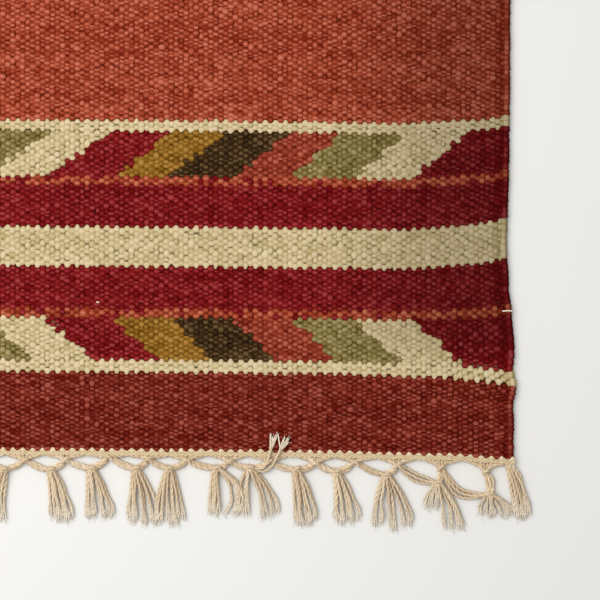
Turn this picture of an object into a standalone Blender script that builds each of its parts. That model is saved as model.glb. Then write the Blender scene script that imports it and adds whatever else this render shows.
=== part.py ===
"""Kilim rug: one flat-woven web with a knotted cotton fringe at each end.

Metres, +Z up. X runs across the rug and Y along it. The origin is on the floor,
under the middle of the web, and the near fringe lies at -Y.
"""

import math
from collections import namedtuple

import bmesh
import bpy
from mathutils import Matrix

# Woven web
WEB_WIDTH = 0.600
WEB_LENGTH = 0.900
WEB_THICK = 0.0038
WEB_EDGE_ROUND = 0.0011
EDGE_STATIONS = 60
END_STATIONS = 24

# Cotton heading strip that carries the fringe, parted from the web's end
HEADING_WIDTH = 0.0044
HEADING_THICK = 0.0034
PART_GAP = 0.0003

# Fringe
KNOT_PITCH = 0.0283
GATHER_KNOT = 0.0052
TASSEL_KNOT = 0.0066
CORNER_KNOT = 0.0052
KNOT_FLATTENING = 0.8
FAN_HALF_WIDTH = 0.0122
FAN_THICK = 0.0018
FAN_ROOT = 0.0012
SWAG_WIDTH = 0.0042
SWAG_SAG = 0.0012
SWAG_END_SHARE = 0.25
LOCK_WIDTH = 0.0038
LOCK_FILL = 0.86
LOOSE_WIDTH = 0.0022
LOCK_ROOT_SPREAD = 0.55
LOCK_ROOT_SHARE = 0.13
LOCK_TIP_ARC = 0.06
LOCKS_A_TASSEL = 4
LOCKS_A_CORNER = 3

# Undersides of the joined shapes, a little apart so that no two faces coincide
HEADING_LEVEL = 0.00006
KNOT_LEVEL = 0.00012
FAN_LEVEL = 0.00019
SWAG_LEVELS = (0.00026, 0.00038)
SECTION_HEIGHT_SHARE = 0.7

WEB_COLOUR = (0.208, 0.028, 0.015, 1.0)
FRINGE_COLOUR = (0.650, 0.500, 0.310, 1.0)
WOOL_ROUGHNESS = 0.95
COTTON_ROUGHNESS = 0.9

# How far an edge stands out of its straight line, by place along that edge
Drift = namedtuple("Drift", "place out")
RIGHT_EDGE_FROM_NEAR_END = (
    Drift(0.000, 0.0024),
    Drift(0.022, 0.0024),
    Drift(0.036, 0.0020),
    Drift(0.047, 0.0044),
    Drift(0.059, 0.0020),
    Drift(0.073, 0.0027),
    Drift(0.094, 0.0013),
    Drift(0.117, -0.0011),
    Drift(0.144, -0.0022),
    Drift(0.192, -0.0007),
    Drift(0.260, 0.0000),
    Drift(0.520, 0.0012),
    Drift(0.740, -0.0010),
    Drift(0.900, 0.0006),
)
LEFT_EDGE_FROM_NEAR_END = (
    Drift(0.000, 0.0010),
    Drift(0.110, -0.0012),
    Drift(0.260, 0.0008),
    Drift(0.480, -0.0006),
    Drift(0.700, 0.0012),
    Drift(0.900, -0.0008),
)
NEAR_END_BY_X = (
    Drift(-0.300, -0.0012),
    Drift(-0.150, -0.0030),
    Drift(0.000, -0.0027),
    Drift(0.160, 0.0000),
    Drift(0.250, 0.0018),
    Drift(0.300, 0.0047),
)
FAR_END_BY_X = (
    Drift(-0.300, 0.0016),
    Drift(-0.120, -0.0012),
    Drift(0.080, -0.0016),
    Drift(0.300, 0.0014),
)

# One gather knot and the tassel on its inner side. Shifts are sideways from the
# even pitch, drops are from the heading's edge, tips are the tassel's spread.
KnotRow = namedtuple(
    "KnotRow", "gather_shift gather_drop tassel_shift tassel_drop tip_left tip_right reach"
)
KNOT_ROWS = (
    KnotRow(0.0010, 0.0026, 0.0034, 0.0105, -0.0050, 0.0130, 0.033),
    KnotRow(-0.0005, 0.0034, 0.0052, 0.0101, -0.0034, 0.0114, 0.034),
    KnotRow(-0.0024, 0.0040, -0.0010, 0.0095, -0.0074, 0.0088, 0.036),
    KnotRow(-0.0028, 0.0040, 0.0032, 0.0084, -0.0040, 0.0128, 0.030),
    KnotRow(-0.0042, 0.0039, -0.0028, 0.0078, -0.0068, 0.0169, 0.033),
    KnotRow(-0.0007, 0.0045, -0.0001, 0.0088, -0.0020, 0.0135, 0.036),
    KnotRow(-0.0027, 0.0034, -0.0012, 0.0099, 0.0000, 0.0140, 0.034),
    KnotRow(-0.0027, 0.0044, 0.0041, 0.0111, -0.0074, 0.0160, 0.036),
    KnotRow(-0.0017, 0.0057, 0.0106, 0.0156, -0.0064, 0.0186, 0.031),
    KnotRow(0.0003, 0.0059, 0.0177, 0.0209, -0.0047, 0.0142, 0.018),
)
# Which rows stand from the middle outwards, on the right and on the left of each end
NEAR_RIGHT = (0, 1, 2, 3, 4, 5, 6, 7, 8, 9)
NEAR_LEFT = (3, 6, 1, 0, 5, 2, 6, 4, 3, 0)
FAR_RIGHT = (5, 2, 0, 6, 1, 3, 4, 2, 6, 5)
FAR_LEFT = (1, 4, 5, 2, 3, 0, 6, 2, 5, 1)
MIDDLE_GATHER_DROP = 0.0030

CORNER_TIPS = (0.0010, 0.0110)
CORNER_REACH = 0.035

# A lock's course from its knot: shares of its reach and of its way sideways, its
# height over the floor, and the share of its full width
LockStep = namedtuple("LockStep", "along sideways height width")
LOCK_STEPS = (
    LockStep(0.00, 0.00, 0.0011, 1.00),
    LockStep(0.28, 0.56, 0.0000, 1.00),
    LockStep(0.66, 0.90, 0.0000, 1.00),
    LockStep(1.00, 1.00, 0.0000, 0.75),
)

# Two loose warp ends thrown back over the heading, along the web, from one gather knot
LoosePoint = namedtuple("LoosePoint", "x y z")
LOOSE_KNOT = 4
LOOSE_ENDS = (
    (
        LoosePoint(0.1366, -0.4500, 0.0038),
        LoosePoint(0.1387, -0.4399, 0.0042),
        LoosePoint(0.1400, -0.4331, 0.0042),
    ),
    (
        LoosePoint(0.1420, -0.4495, 0.0038),
        LoosePoint(0.1462, -0.4410, 0.0042),
        LoosePoint(0.1515, -0.4372, 0.0042),
    ),
)

Gather = namedtuple("Gather", "x y")
Tassel = namedtuple("Tassel", "x y tip_left tip_right reach locks knot")


def clear_scene():
    """Removes whatever the open file holds."""
    for item in list(bpy.data.objects):
        bpy.data.objects.remove(item)


def new_collection(name):
    """Returns a new collection in the scene."""
    made = bpy.data.collections.new(name)
    bpy.context.scene.collection.children.link(made)
    return made


def yarn(name, colour, roughness):
    """Returns a plain yarn material."""
    made = bpy.data.materials.new(name)
    made.use_nodes = True
    shader = made.node_tree.nodes["Principled BSDF"]
    shader.inputs["Base Color"].default_value = colour
    shader.inputs["Roughness"].default_value = roughness
    shader.inputs["Metallic"].default_value = 0.0
    made.diffuse_color = colour
    return made


def drift_at(table, place):
    """Reads a drift table, easing from one row to the next."""
    for low, high in zip(table, table[1:]):
        if place <= high.place:
            share = max(0.0, (place - low.place) / (high.place - low.place))
            eased = (1 - math.cos(math.pi * share)) / 2
            return low.out + (high.out - low.out) * eased
    return table[-1].out


def right_edge(y):
    """X of the right selvedge at a place along the rug."""
    return WEB_WIDTH / 2 + drift_at(RIGHT_EDGE_FROM_NEAR_END, y + WEB_LENGTH / 2)


def left_edge(y):
    """X of the left selvedge at a place along the rug."""
    return -WEB_WIDTH / 2 - drift_at(LEFT_EDGE_FROM_NEAR_END, y + WEB_LENGTH / 2)


def near_end(x):
    """Y of the near heading's outer edge."""
    return -WEB_LENGTH / 2 - drift_at(NEAR_END_BY_X, x)


def far_end(x):
    """Y of the far heading's outer edge."""
    return WEB_LENGTH / 2 + drift_at(FAR_END_BY_X, x)


def far_end_turned(x):
    """The far end's line turned half round, as the fringe laid out at the near end needs it."""
    return -far_end(-x)


def steps(start, stop, count):
    """Evenly spaced values from start to stop, both included."""
    return [start + (stop - start) * i / count for i in range(count + 1)]


def mesh_object(curve_object, collection):
    """Turns a curve object into a closed mesh object of the same name."""
    bpy.context.scene.collection.objects.link(curve_object)
    bpy.context.view_layer.update()
    evaluated = curve_object.evaluated_get(bpy.context.evaluated_depsgraph_get())
    mesh = bpy.data.meshes.new_from_object(evaluated)
    place = curve_object.matrix_world.copy()
    name = curve_object.name
    bpy.data.objects.remove(curve_object)
    cage = bmesh.new()
    cage.from_mesh(mesh)
    bmesh.ops.remove_doubles(cage, verts=cage.verts, dist=0.000001)
    bmesh.ops.recalc_face_normals(cage, faces=cage.faces)
    cage.to_mesh(mesh)
    cage.free()
    made = bpy.data.objects.new(name, mesh)
    made.matrix_world = place
    collection.objects.link(made)
    return made


def guide(item):
    """Marks a shape that is only joined into another."""
    item.hide_render = True
    item.display_type = "WIRE"
    return item


def plate(name, outline, low, high, collection, rounding=0.0):
    """A flat piece with the given outline, from height low to height high."""
    curve = bpy.data.curves.new(name, "CURVE")
    curve.dimensions = "2D"
    curve.fill_mode = "BOTH"
    curve.extrude = (high - low) / 2 - rounding
    curve.bevel_depth = rounding
    curve.bevel_resolution = 0
    curve.offset = -rounding
    spline = curve.splines.new("POLY")
    spline.points.add(len(outline) - 1)
    for point, (x, y) in zip(spline.points, outline):
        point.co = (x, y, 0.0, 1.0)
    spline.use_cyclic_u = True
    item = bpy.data.objects.new(name, curve)
    item.location.z = (low + high) / 2
    return mesh_object(item, collection)


def settle(item, floor):
    """Lowers or lifts a mesh so that its lowest point is at the floor height given."""
    lowest = min(vertex.co.z for vertex in item.data.vertices)
    item.data.transform(Matrix.Translation((0.0, 0.0, floor - lowest)))
    return item


def lock_section(collection):
    """The three-sided cross-section of a strand, one unit wide, with its flat side down."""
    curve = bpy.data.curves.new("lock_section", "CURVE")
    curve.dimensions = "2D"
    spline = curve.splines.new("POLY")
    spline.points.add(2)
    corners = ((-0.5, 0.0), (0.5, 0.0), (0.0, SECTION_HEIGHT_SHARE))
    for point, (x, y) in zip(spline.points, corners):
        point.co = (x, y, 0.0, 1.0)
    spline.use_cyclic_u = True
    item = bpy.data.objects.new("lock_section", curve)
    collection.objects.link(item)
    return guide(item)


def strand(name, path, widths, section, collection):
    """A three-sided strand along a path of points, as wide as widths says at each."""
    curve = bpy.data.curves.new(name, "CURVE")
    curve.dimensions = "3D"
    curve.twist_mode = "Z_UP"
    curve.bevel_mode = "OBJECT"
    curve.bevel_object = section
    curve.use_fill_caps = True
    spline = curve.splines.new("POLY")
    spline.points.add(len(path) - 1)
    for point, place, width in zip(spline.points, path, widths):
        point.co = (*place, 1.0)
        point.radius = width
    return guide(mesh_object(bpy.data.objects.new(name, curve), collection))


def knot(name, x, y, size, collection):
    """A squashed ball that rests just clear of the floor."""
    mesh = bpy.data.meshes.new(name)
    ball = bmesh.new()
    bmesh.ops.create_icosphere(ball, subdivisions=1, radius=size / 2)
    bmesh.ops.scale(ball, vec=(1.0, 1.0, KNOT_FLATTENING), verts=ball.verts)
    ball.to_mesh(mesh)
    ball.free()
    mesh.transform(Matrix.Translation((x, y, 0.0)))
    item = bpy.data.objects.new(name, mesh)
    collection.objects.link(item)
    return guide(settle(item, KNOT_LEVEL))


def side_rows(order, mirrored, end):
    """Gather knots and tassels from the middle to one corner of an end.

    On the mirrored side the rows are turned over, left for right.
    """
    sign = -1 if mirrored else 1
    gathers = []
    tassels = []
    for place, row_number in enumerate(order, start=1):
        row = KNOT_ROWS[row_number]
        x = sign * (place * KNOT_PITCH + row.gather_shift)
        gathers.append(Gather(x, end(x) - row.gather_drop))
        x = sign * ((place - 0.5) * KNOT_PITCH + row.tassel_shift)
        tips = sorted((sign * row.tip_left, sign * row.tip_right))
        y = end(x) - row.tassel_drop
        tassels.append(Tassel(x, y, *tips, row.reach, LOCKS_A_TASSEL, TASSEL_KNOT))
    return gathers, tassels


def corner_tassel(sign, end, edge):
    """The short tassel that hangs straight from one corner of the heading."""
    x = edge - sign * CORNER_KNOT / 4
    tips = sorted(sign * tip for tip in CORNER_TIPS)
    return Tassel(x, end(x), *tips, CORNER_REACH, LOCKS_A_CORNER, CORNER_KNOT)


def lock_path(tassel, share):
    """The path and widths of one lock, from inside its knot to its tip on the floor.

    A lock is as wide as its neighbours leave it room to be, up to its full width.
    """
    spread = tassel.tip_right - tassel.tip_left
    root_spread = tassel.knot * LOCK_ROOT_SPREAD
    tip = tassel.tip_left + spread * share
    root = (share - 0.5) * root_spread
    reach = tassel.reach * (1 - LOCK_TIP_ARC * (2 * share - 1) ** 2)
    top = tassel.y - tassel.knot * LOCK_ROOT_SHARE
    path = []
    widths = []
    for step in LOCK_STEPS:
        x = tassel.x + root + (tip - root) * step.sideways
        path.append((x, top - reach * step.along, step.height))
        room = (root_spread + (spread - root_spread) * step.sideways) / (tassel.locks - 1)
        widths.append(min(LOCK_WIDTH, room * LOCK_FILL) * step.width)
    return path, widths


def swag_path(gather, tassel):
    """The path of the warps that run from a gather knot down to a tassel's knot."""
    start_y = gather.y - GATHER_KNOT * SWAG_END_SHARE
    stop_y = tassel.y + tassel.knot * SWAG_END_SHARE
    middle = ((gather.x + tassel.x) / 2, (start_y + stop_y) / 2 - SWAG_SAG, 0.0)
    return [(gather.x, start_y, 0.0), middle, (tassel.x, stop_y, 0.0)]


def heading_strip(name, end, edges, collection):
    """The cotton strip at the web's end, which every strand is rooted in."""
    xs = steps(*edges, END_STATIONS)
    outer = [(x, end(x)) for x in xs]
    inner = [(x, end(x) + HEADING_WIDTH) for x in reversed(xs)]
    return plate(name, outer + inner, HEADING_LEVEL, HEADING_THICK, collection)


def gathered_warps(name, gathers, end, joined):
    """The warps that narrow from the heading into each gather knot, and the knot."""
    for number, gather in enumerate(gathers):
        left = gather.x - FAN_HALF_WIDTH
        right = gather.x + FAN_HALF_WIDTH
        outline = (
            (left, end(left) + FAN_ROOT),
            (gather.x - GATHER_KNOT / 4, gather.y),
            (gather.x + GATHER_KNOT / 4, gather.y),
            (right, end(right) + FAN_ROOT),
        )
        guide(plate(f"{name}_fan_{number}", outline, FAN_LEVEL, FAN_THICK, joined))
        knot(f"{name}_gather_{number}", gather.x, gather.y, GATHER_KNOT, joined)


def hung_tassels(name, tassels, section, joined):
    """Each tassel's knot, and the locks that fan out of it."""
    for number, tassel in enumerate(tassels):
        knot(f"{name}_knot_{number}", tassel.x, tassel.y, tassel.knot, joined)
        for lock in range(tassel.locks):
            path, widths = lock_path(tassel, lock / (tassel.locks - 1))
            strand(f"{name}_lock_{number}_{lock}", path, widths, section, joined)


def swags(name, gathers, tassels, section, joined):
    """The warps from the two gather knots beside each tassel down to its knot."""
    for number, tassel in enumerate(tassels):
        for side, gather in enumerate((gathers[number], gathers[number + 1])):
            label = f"{name}_swag_{number}_{side}"
            swag = strand(label, swag_path(gather, tassel), [SWAG_WIDTH] * 3, section, joined)
            settle(swag, SWAG_LEVELS[side])


def loose_ends(name, gather, section, joined):
    """Two warp ends that lie back over the heading and the web."""
    for number, route in enumerate(LOOSE_ENDS):
        path = [(gather.x, gather.y, GATHER_KNOT / 3), *route]
        widths = [LOOSE_WIDTH] * 3 + [LOOSE_WIDTH / 2]
        strand(f"{name}_loose_{number}", path, widths, section, joined)


def fringe(name, end, edges, orders, has_loose_ends, collection, guides):
    """One end's heading strip, and the collection of shapes that are joined to it.

    It is laid out at the near end. The caller turns it round for the far one.
    """
    right_gathers, right_tassels = side_rows(orders[0], False, end)
    left_gathers, left_tassels = side_rows(orders[1], True, end)
    middle = Gather(0.0, end(0.0) - MIDDLE_GATHER_DROP)
    gathers = [*reversed(left_gathers), middle, *right_gathers]
    tassels = [*reversed(left_tassels), *right_tassels]
    corners = [corner_tassel(-1, end, edges[0]), corner_tassel(1, end, edges[1])]

    heading = heading_strip(name, end, edges, collection)
    section = lock_section(guides)
    joined = bpy.data.collections.new(name + "_strands")
    guides.children.link(joined)
    gathered_warps(name, gathers, end, joined)
    hung_tassels(name, tassels + corners, section, joined)
    swags(name, gathers, tassels, section, joined)
    if has_loose_ends:
        loose_ends(name, right_gathers[LOOSE_KNOT], section, joined)
    return heading, joined


def join(item, collection):
    """Makes one solid of a piece and all the shapes in a collection."""
    union = item.modifiers.new("join", "BOOLEAN")
    union.operation = "UNION"
    union.solver = "EXACT"
    union.operand_type = "COLLECTION"
    union.collection = collection


def rug_web(collection):
    """The woven web: a flat sheet with a wavering outline and soft edges."""
    ys = steps(-WEB_LENGTH / 2, WEB_LENGTH / 2, EDGE_STATIONS)[1:-1]
    inset = HEADING_WIDTH + PART_GAP
    xs = steps(left_edge(-WEB_LENGTH / 2), right_edge(-WEB_LENGTH / 2), END_STATIONS)
    near = [(x, near_end(x) + inset) for x in xs]
    xs = steps(right_edge(WEB_LENGTH / 2), left_edge(WEB_LENGTH / 2), END_STATIONS)
    far = [(x, far_end(x) - inset) for x in xs]
    right = [(right_edge(y), y) for y in ys]
    left = [(left_edge(y), y) for y in reversed(ys)]
    outline = near + right + far + left
    return plate("rug_web", outline, 0.0, WEB_THICK, collection, WEB_EDGE_ROUND)


def main():
    """Builds the rug's three pieces."""
    clear_scene()
    rug = new_collection("kilim_rug")
    guides = new_collection("kilim_rug_guides")
    wool = yarn("wool_weft", WEB_COLOUR, WOOL_ROUGHNESS)
    cotton = yarn("cotton_warp", FRINGE_COLOUR, COTTON_ROUGHNESS)

    web = rug_web(rug)
    web.data.materials.append(wool)

    near_y = -WEB_LENGTH / 2
    near_edges = (left_edge(near_y), right_edge(near_y))
    near, near_strands = fringe(
        "fringe_near", near_end, near_edges, (NEAR_RIGHT, NEAR_LEFT), True, rug, guides
    )
    near.data.materials.append(cotton)

    far_edges = (-right_edge(-near_y), -left_edge(-near_y))
    far, far_strands = fringe(
        "fringe_far", far_end_turned, far_edges, (FAR_RIGHT, FAR_LEFT), False, rug, guides
    )
    far.data.materials.append(cotton)
    turn = bpy.data.objects.new("far_end_turn", None)
    guides.objects.link(turn)
    turn.rotation_euler.z = math.pi
    for item in (far, *far_strands.objects):
        item.parent = turn

    # The unions come last, because each new object would have them worked out again
    join(near, near_strands)
    join(far, far_strands)


main()
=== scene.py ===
"""Dresses the kilim rug: wool weft floats, wrapped selvedges and a knotted cotton fringe.

Metres, +Z up. X runs across the rug and Y along it, and the near fringe lies at -Y.
Places along the weave are measured from the outer edge of the near heading.
"""

import logging
import math
from dataclasses import astuple, dataclass, field
from enum import Enum

import bmesh
import bpy
import numpy as np
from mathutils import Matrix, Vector


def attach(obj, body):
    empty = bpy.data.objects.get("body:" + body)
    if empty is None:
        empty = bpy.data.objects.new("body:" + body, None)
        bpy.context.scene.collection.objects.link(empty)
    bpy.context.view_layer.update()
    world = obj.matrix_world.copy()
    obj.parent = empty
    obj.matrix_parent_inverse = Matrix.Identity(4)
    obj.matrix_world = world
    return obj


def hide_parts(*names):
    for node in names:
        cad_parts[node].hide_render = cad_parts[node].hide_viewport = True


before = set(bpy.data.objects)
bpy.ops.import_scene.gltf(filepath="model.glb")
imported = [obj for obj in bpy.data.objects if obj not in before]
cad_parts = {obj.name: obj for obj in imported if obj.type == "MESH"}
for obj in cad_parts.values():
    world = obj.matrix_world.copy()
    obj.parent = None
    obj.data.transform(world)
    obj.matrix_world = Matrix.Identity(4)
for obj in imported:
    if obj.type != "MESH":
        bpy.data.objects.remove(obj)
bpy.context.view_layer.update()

BODY = "root"
SEED = 71

logging.basicConfig(level=logging.INFO, format="%(message)s")
log = logging.getLogger("kilim_rug")

# Sockets of Blender's colour mix node
MIX_FACTOR = 0
MIX_A = 6
MIX_B = 7
MIX_RESULT = 2


def linear(hex_code: str, alpha: float = 1.0) -> tuple[float, float, float, float]:
    """Turns an sRGB hex colour into Blender's linear values.

    Args:
        hex_code: six hex digits.
        alpha: opacity to go with it.

    Returns:
        Red, green, blue and alpha.
    """
    values = []
    for start in (0, 2, 4):
        part = int(hex_code[start:start + 2], 16) / 255
        values.append(part / 12.92 if part <= 0.04045 else ((part + 0.055) / 1.055) ** 2.4)
    return (*values, alpha)


def add_node(tree: bpy.types.NodeTree, kind: str, inputs: dict | None = None,
             **settings) -> bpy.types.Node:
    """Adds one node with its settings, values and links.

    Args:
        tree: the tree that takes the node.
        kind: Blender's name for the node type.
        inputs: a value or an output socket for each input, by name or number.
        settings: properties of the node.

    Returns:
        The new node.
    """
    node = tree.nodes.new(kind)
    for name, value in settings.items():
        setattr(node, name, value)
    for name, value in (inputs or {}).items():
        if isinstance(value, bpy.types.NodeSocket):
            tree.links.new(value, node.inputs[name])
        else:
            node.inputs[name].default_value = value
    return node


def new_object(name: str, data: bpy.types.ID) -> bpy.types.Object:
    """Adds an object to the scene.

    Args:
        name: its name.
        data: its mesh, camera or light.

    Returns:
        The object.
    """
    item = bpy.data.objects.new(name, data)
    bpy.context.scene.collection.objects.link(item)
    return item


def close_rings(form: bmesh.types.BMesh, rings: list[list[bmesh.types.BMVert]]) -> None:
    """Joins rings of points into a closed skin that faces outwards.

    Args:
        form: the form that holds the points.
        rings: the rings, one after another, each with as many points.
    """
    count = len(rings[0])
    for low, high in zip(rings, rings[1:]):
        for i in range(count):
            j = (i + 1) % count
            form.faces.new((low[i], low[j], high[j], high[i]))
    form.faces.new(rings[0])
    form.faces.new(rings[-1])
    bmesh.ops.recalc_face_normals(form, faces=form.faces)


def form_mesh(name: str, form: bmesh.types.BMesh) -> bpy.types.Mesh:
    """Turns a form into a mesh, and frees it.

    Args:
        name: the mesh's name.
        form: the form.

    Returns:
        The mesh.
    """
    mesh = bpy.data.meshes.new(name)
    form.to_mesh(mesh)
    form.free()
    return mesh


def smooth(value: np.ndarray) -> np.ndarray:
    """Eases a share from 0 to 1, flat at both ends."""
    share = np.clip(value, 0.0, 1.0)
    return share * share * (3 - 2 * share)


@dataclass(frozen=True)
class Drift:
    """How far a line stands out of its straight course at one place along it."""

    place: float
    out: float


RIGHT_EDGE_FROM_NEAR_END = (
    Drift(0.000, 0.0024),
    Drift(0.022, 0.0024),
    Drift(0.036, 0.0020),
    Drift(0.047, 0.0044),
    Drift(0.059, 0.0020),
    Drift(0.073, 0.0027),
    Drift(0.094, 0.0013),
    Drift(0.117, -0.0011),
    Drift(0.144, -0.0022),
    Drift(0.192, -0.0007),
    Drift(0.260, 0.0000),
    Drift(0.520, 0.0012),
    Drift(0.740, -0.0010),
    Drift(0.900, 0.0006),
)
LEFT_EDGE_FROM_NEAR_END = (
    Drift(0.000, 0.0010),
    Drift(0.110, -0.0012),
    Drift(0.260, 0.0008),
    Drift(0.480, -0.0006),
    Drift(0.700, 0.0012),
    Drift(0.900, -0.0008),
)
NEAR_END_BY_X = (
    Drift(-0.300, -0.0012),
    Drift(-0.150, -0.0020),
    Drift(0.000, -0.0008),
    Drift(0.090, -0.0002),
    Drift(0.160, 0.0005),
    Drift(0.250, 0.0024),
    Drift(0.300, 0.0052),
)
FAR_END_BY_X = (
    Drift(-0.300, 0.0016),
    Drift(-0.120, -0.0012),
    Drift(0.080, -0.0016),
    Drift(0.300, 0.0014),
)
# How much further up the picks lie at the right selvedge than the near end's line does
RIGHT_CORNER_LIFT = (
    Drift(0.0000, 0.0000),
    Drift(0.0300, -0.0015),
    Drift(0.0560, -0.0035),
    Drift(0.0645, -0.0018),
    Drift(0.0932, 0.0082),
    Drift(0.1272, 0.0117),
    Drift(0.1542, 0.0117),
    Drift(0.1900, 0.0107),
    Drift(0.2220, 0.0091),
    Drift(0.3000, 0.0066),
    Drift(0.4500, 0.0031),
    Drift(0.6500, 0.0000),
    Drift(0.9000, 0.0000),
)


def drift_at(table: tuple[Drift, ...], place: np.ndarray | float) -> np.ndarray:
    """Reads a drift table, easing from one row to the next.

    Args:
        table: the rows, by rising place.
        place: one place or an array of them.

    Returns:
        The drift at each place.
    """
    places = np.array([row.place for row in table])
    outs = np.array([row.out for row in table])
    place = np.clip(np.asarray(place, dtype=float), places[0], places[-1])
    row = np.clip(np.searchsorted(places, place, side="right") - 1, 0, len(table) - 2)
    share = (place - places[row]) / (places[row + 1] - places[row])
    return outs[row] + (outs[row + 1] - outs[row]) * (1 - np.cos(np.pi * share)) / 2


class Yarn(Enum):
    """The yarns that the rug is woven from."""

    FIELD_RUST = "field_rust"
    END_RUST = "end_rust"
    THIN_RUST = "thin_rust"
    MAROON = "maroon"
    CREAM = "cream"
    GREEN = "green"
    SALMON = "salmon"
    BROWN = "brown"
    MUSTARD = "mustard"


@dataclass(frozen=True)
class YarnSurface:
    """How yarn takes the light: hardly any shine, and a fine relief of fibres."""

    relief: float = 0.5
    depth: float = 0.0003
    roughness: float = 1.0
    gloss: float = 0.05

    def set_up(self, tree: bpy.types.NodeTree, colour: bpy.types.NodeSocket,
               height: bpy.types.NodeSocket) -> None:
        """Sets up the shader of a material.

        Args:
            tree: the material's tree.
            colour: the socket with its colour.
            height: the socket with the height of its relief.
        """
        shader = tree.nodes["Principled BSDF"]
        tree.links.new(colour, shader.inputs["Base Color"])
        bump = add_node(tree, "ShaderNodeBump", {
            "Height": height, "Strength": self.relief, "Distance": self.depth,
        })
        tree.links.new(bump.outputs["Normal"], shader.inputs["Normal"])
        shader.inputs["Roughness"].default_value = self.roughness
        shader.inputs["Specular IOR Level"].default_value = self.gloss


@dataclass(frozen=True)
class WovenFinish:
    """Hand-spun yarn, given its dye in the hank and beaten in tight.

    It is dull and dry. Down in the hollows between one float and the next its colour is
    darker, a painted shade, and on the float's top it is lighter, a painted highlight. Uneven
    dye shows as fine streaks along the yarn and as longer darker patches, and past the end
    band the colour darkens towards the right selvedge. The colours go from the hollows up:
    the hollows' painted shade, then shade to light by the float's tone, then the crown's
    painted highlight.
    """

    name: str
    painted_hollow_shade: str
    shade: str
    light: str
    painted_crown_highlight: str
    streak: float = 1.1
    streak_length: float = 0.0045
    streak_width: float = 0.0011
    heather: float = 0.8
    heather_length: float = 0.024
    heather_width: float = 0.0026
    # Heights in the cloth where the painted shade of the hollows gives way to the body colour, and where the
    # painted highlight on top comes in
    hollow_height: float = 0.0029
    body_height: float = 0.00352
    painted_highlight_height: float = 0.00378
    painted_highlight_share: float = 0.7
    surface: YarnSurface = YarnSurface()
    # The colour darkens towards black by up to this share, towards the right selvedge past the end band
    right_darkening_from: float = 0.150
    right_darkening_to: float = 0.275
    right_darkening_foot: float = -0.400
    right_darkening_head: float = -0.362
    right_darkening: float = 0.36

    def material(self) -> bpy.types.Material:
        """Builds the material.

        Returns:
            A node material that reads the float's tone and its height in the cloth, from
            which it paints shade in the hollows and a highlight on the top.
        """
        made = bpy.data.materials.new(f"{self.name}_weave")
        made.use_nodes = True
        tree = made.node_tree
        place = add_node(tree, "ShaderNodeTexCoord").outputs["Object"]
        tone = add_node(tree, "ShaderNodeAttribute", attribute_name="tone").outputs["Fac"]
        for length, width, strength in ((self.heather_length, self.heather_width, self.heather),
                                        (self.streak_length, self.streak_width, self.streak)):
            stretch = add_node(tree, "ShaderNodeMapping", {
                "Vector": place, "Scale": (1 / length, 1 / width, 1 / width),
            })
            streaks = add_node(tree, "ShaderNodeTexNoise", {
                "Vector": stretch.outputs["Vector"], "Scale": 1.0, "Detail": 2.0,
            })
            tone = add_node(tree, "ShaderNodeMath", {
                0: streaks.outputs["Fac"], 1: strength, 2: tone,
            }, operation="MULTIPLY_ADD").outputs[0]
        centred = add_node(tree, "ShaderNodeMath", {
            0: tone, 1: (self.streak + self.heather) / 2,
        }, operation="SUBTRACT", use_clamp=True)
        body = add_node(tree, "ShaderNodeMix", {
            MIX_FACTOR: centred.outputs[0], MIX_A: linear(self.shade), MIX_B: linear(self.light),
        }, data_type="RGBA")
        parts = add_node(tree, "ShaderNodeSeparateXYZ", {0: place})
        height = parts.outputs["Z"]
        # Painted shade: below body height the colour goes towards the hollows' darker colour
        painted_shade_mask = add_node(tree, "ShaderNodeMapRange", {
            "Value": height, "From Min": self.hollow_height, "From Max": self.body_height,
        }, interpolation_type="SMOOTHSTEP")
        depth = add_node(tree, "ShaderNodeMix", {
            MIX_FACTOR: painted_shade_mask.outputs[0], MIX_A: linear(self.painted_hollow_shade), MIX_B: body.outputs[MIX_RESULT],
        }, data_type="RGBA")
        # Painted highlight: towards the float's top the colour goes towards the lighter crown colour
        painted_highlight_mask = add_node(tree, "ShaderNodeMapRange", {
            "Value": height, "From Min": self.body_height, "From Max": self.painted_highlight_height,
            "To Max": self.painted_highlight_share,
        })
        painted_crown_highlight = add_node(tree, "ShaderNodeMix", {
            MIX_FACTOR: painted_highlight_mask.outputs[0], MIX_A: depth.outputs[MIX_RESULT], MIX_B: linear(self.painted_crown_highlight),
        }, data_type="RGBA")
        # Darker towards the right selvedge past the end band, mixed towards black
        beyond = add_node(tree, "ShaderNodeMapRange", {
            "Value": parts.outputs["Y"], "From Min": self.right_darkening_foot, "From Max": self.right_darkening_head,
            "To Max": self.right_darkening,
        }, interpolation_type="SMOOTHSTEP")
        deeper = add_node(tree, "ShaderNodeMapRange", {
            "Value": parts.outputs["X"], "From Min": self.right_darkening_from, "From Max": self.right_darkening_to,
            "To Max": beyond.outputs[0],
        }, interpolation_type="SMOOTHSTEP")
        darkened = add_node(tree, "ShaderNodeMix", {
            MIX_FACTOR: deeper.outputs[0], MIX_A: painted_crown_highlight.outputs[MIX_RESULT], MIX_B: linear("000000"),
        }, data_type="RGBA")
        self.surface.set_up(tree, darkened.outputs[MIX_RESULT], streaks.outputs["Fac"])
        return made


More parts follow.
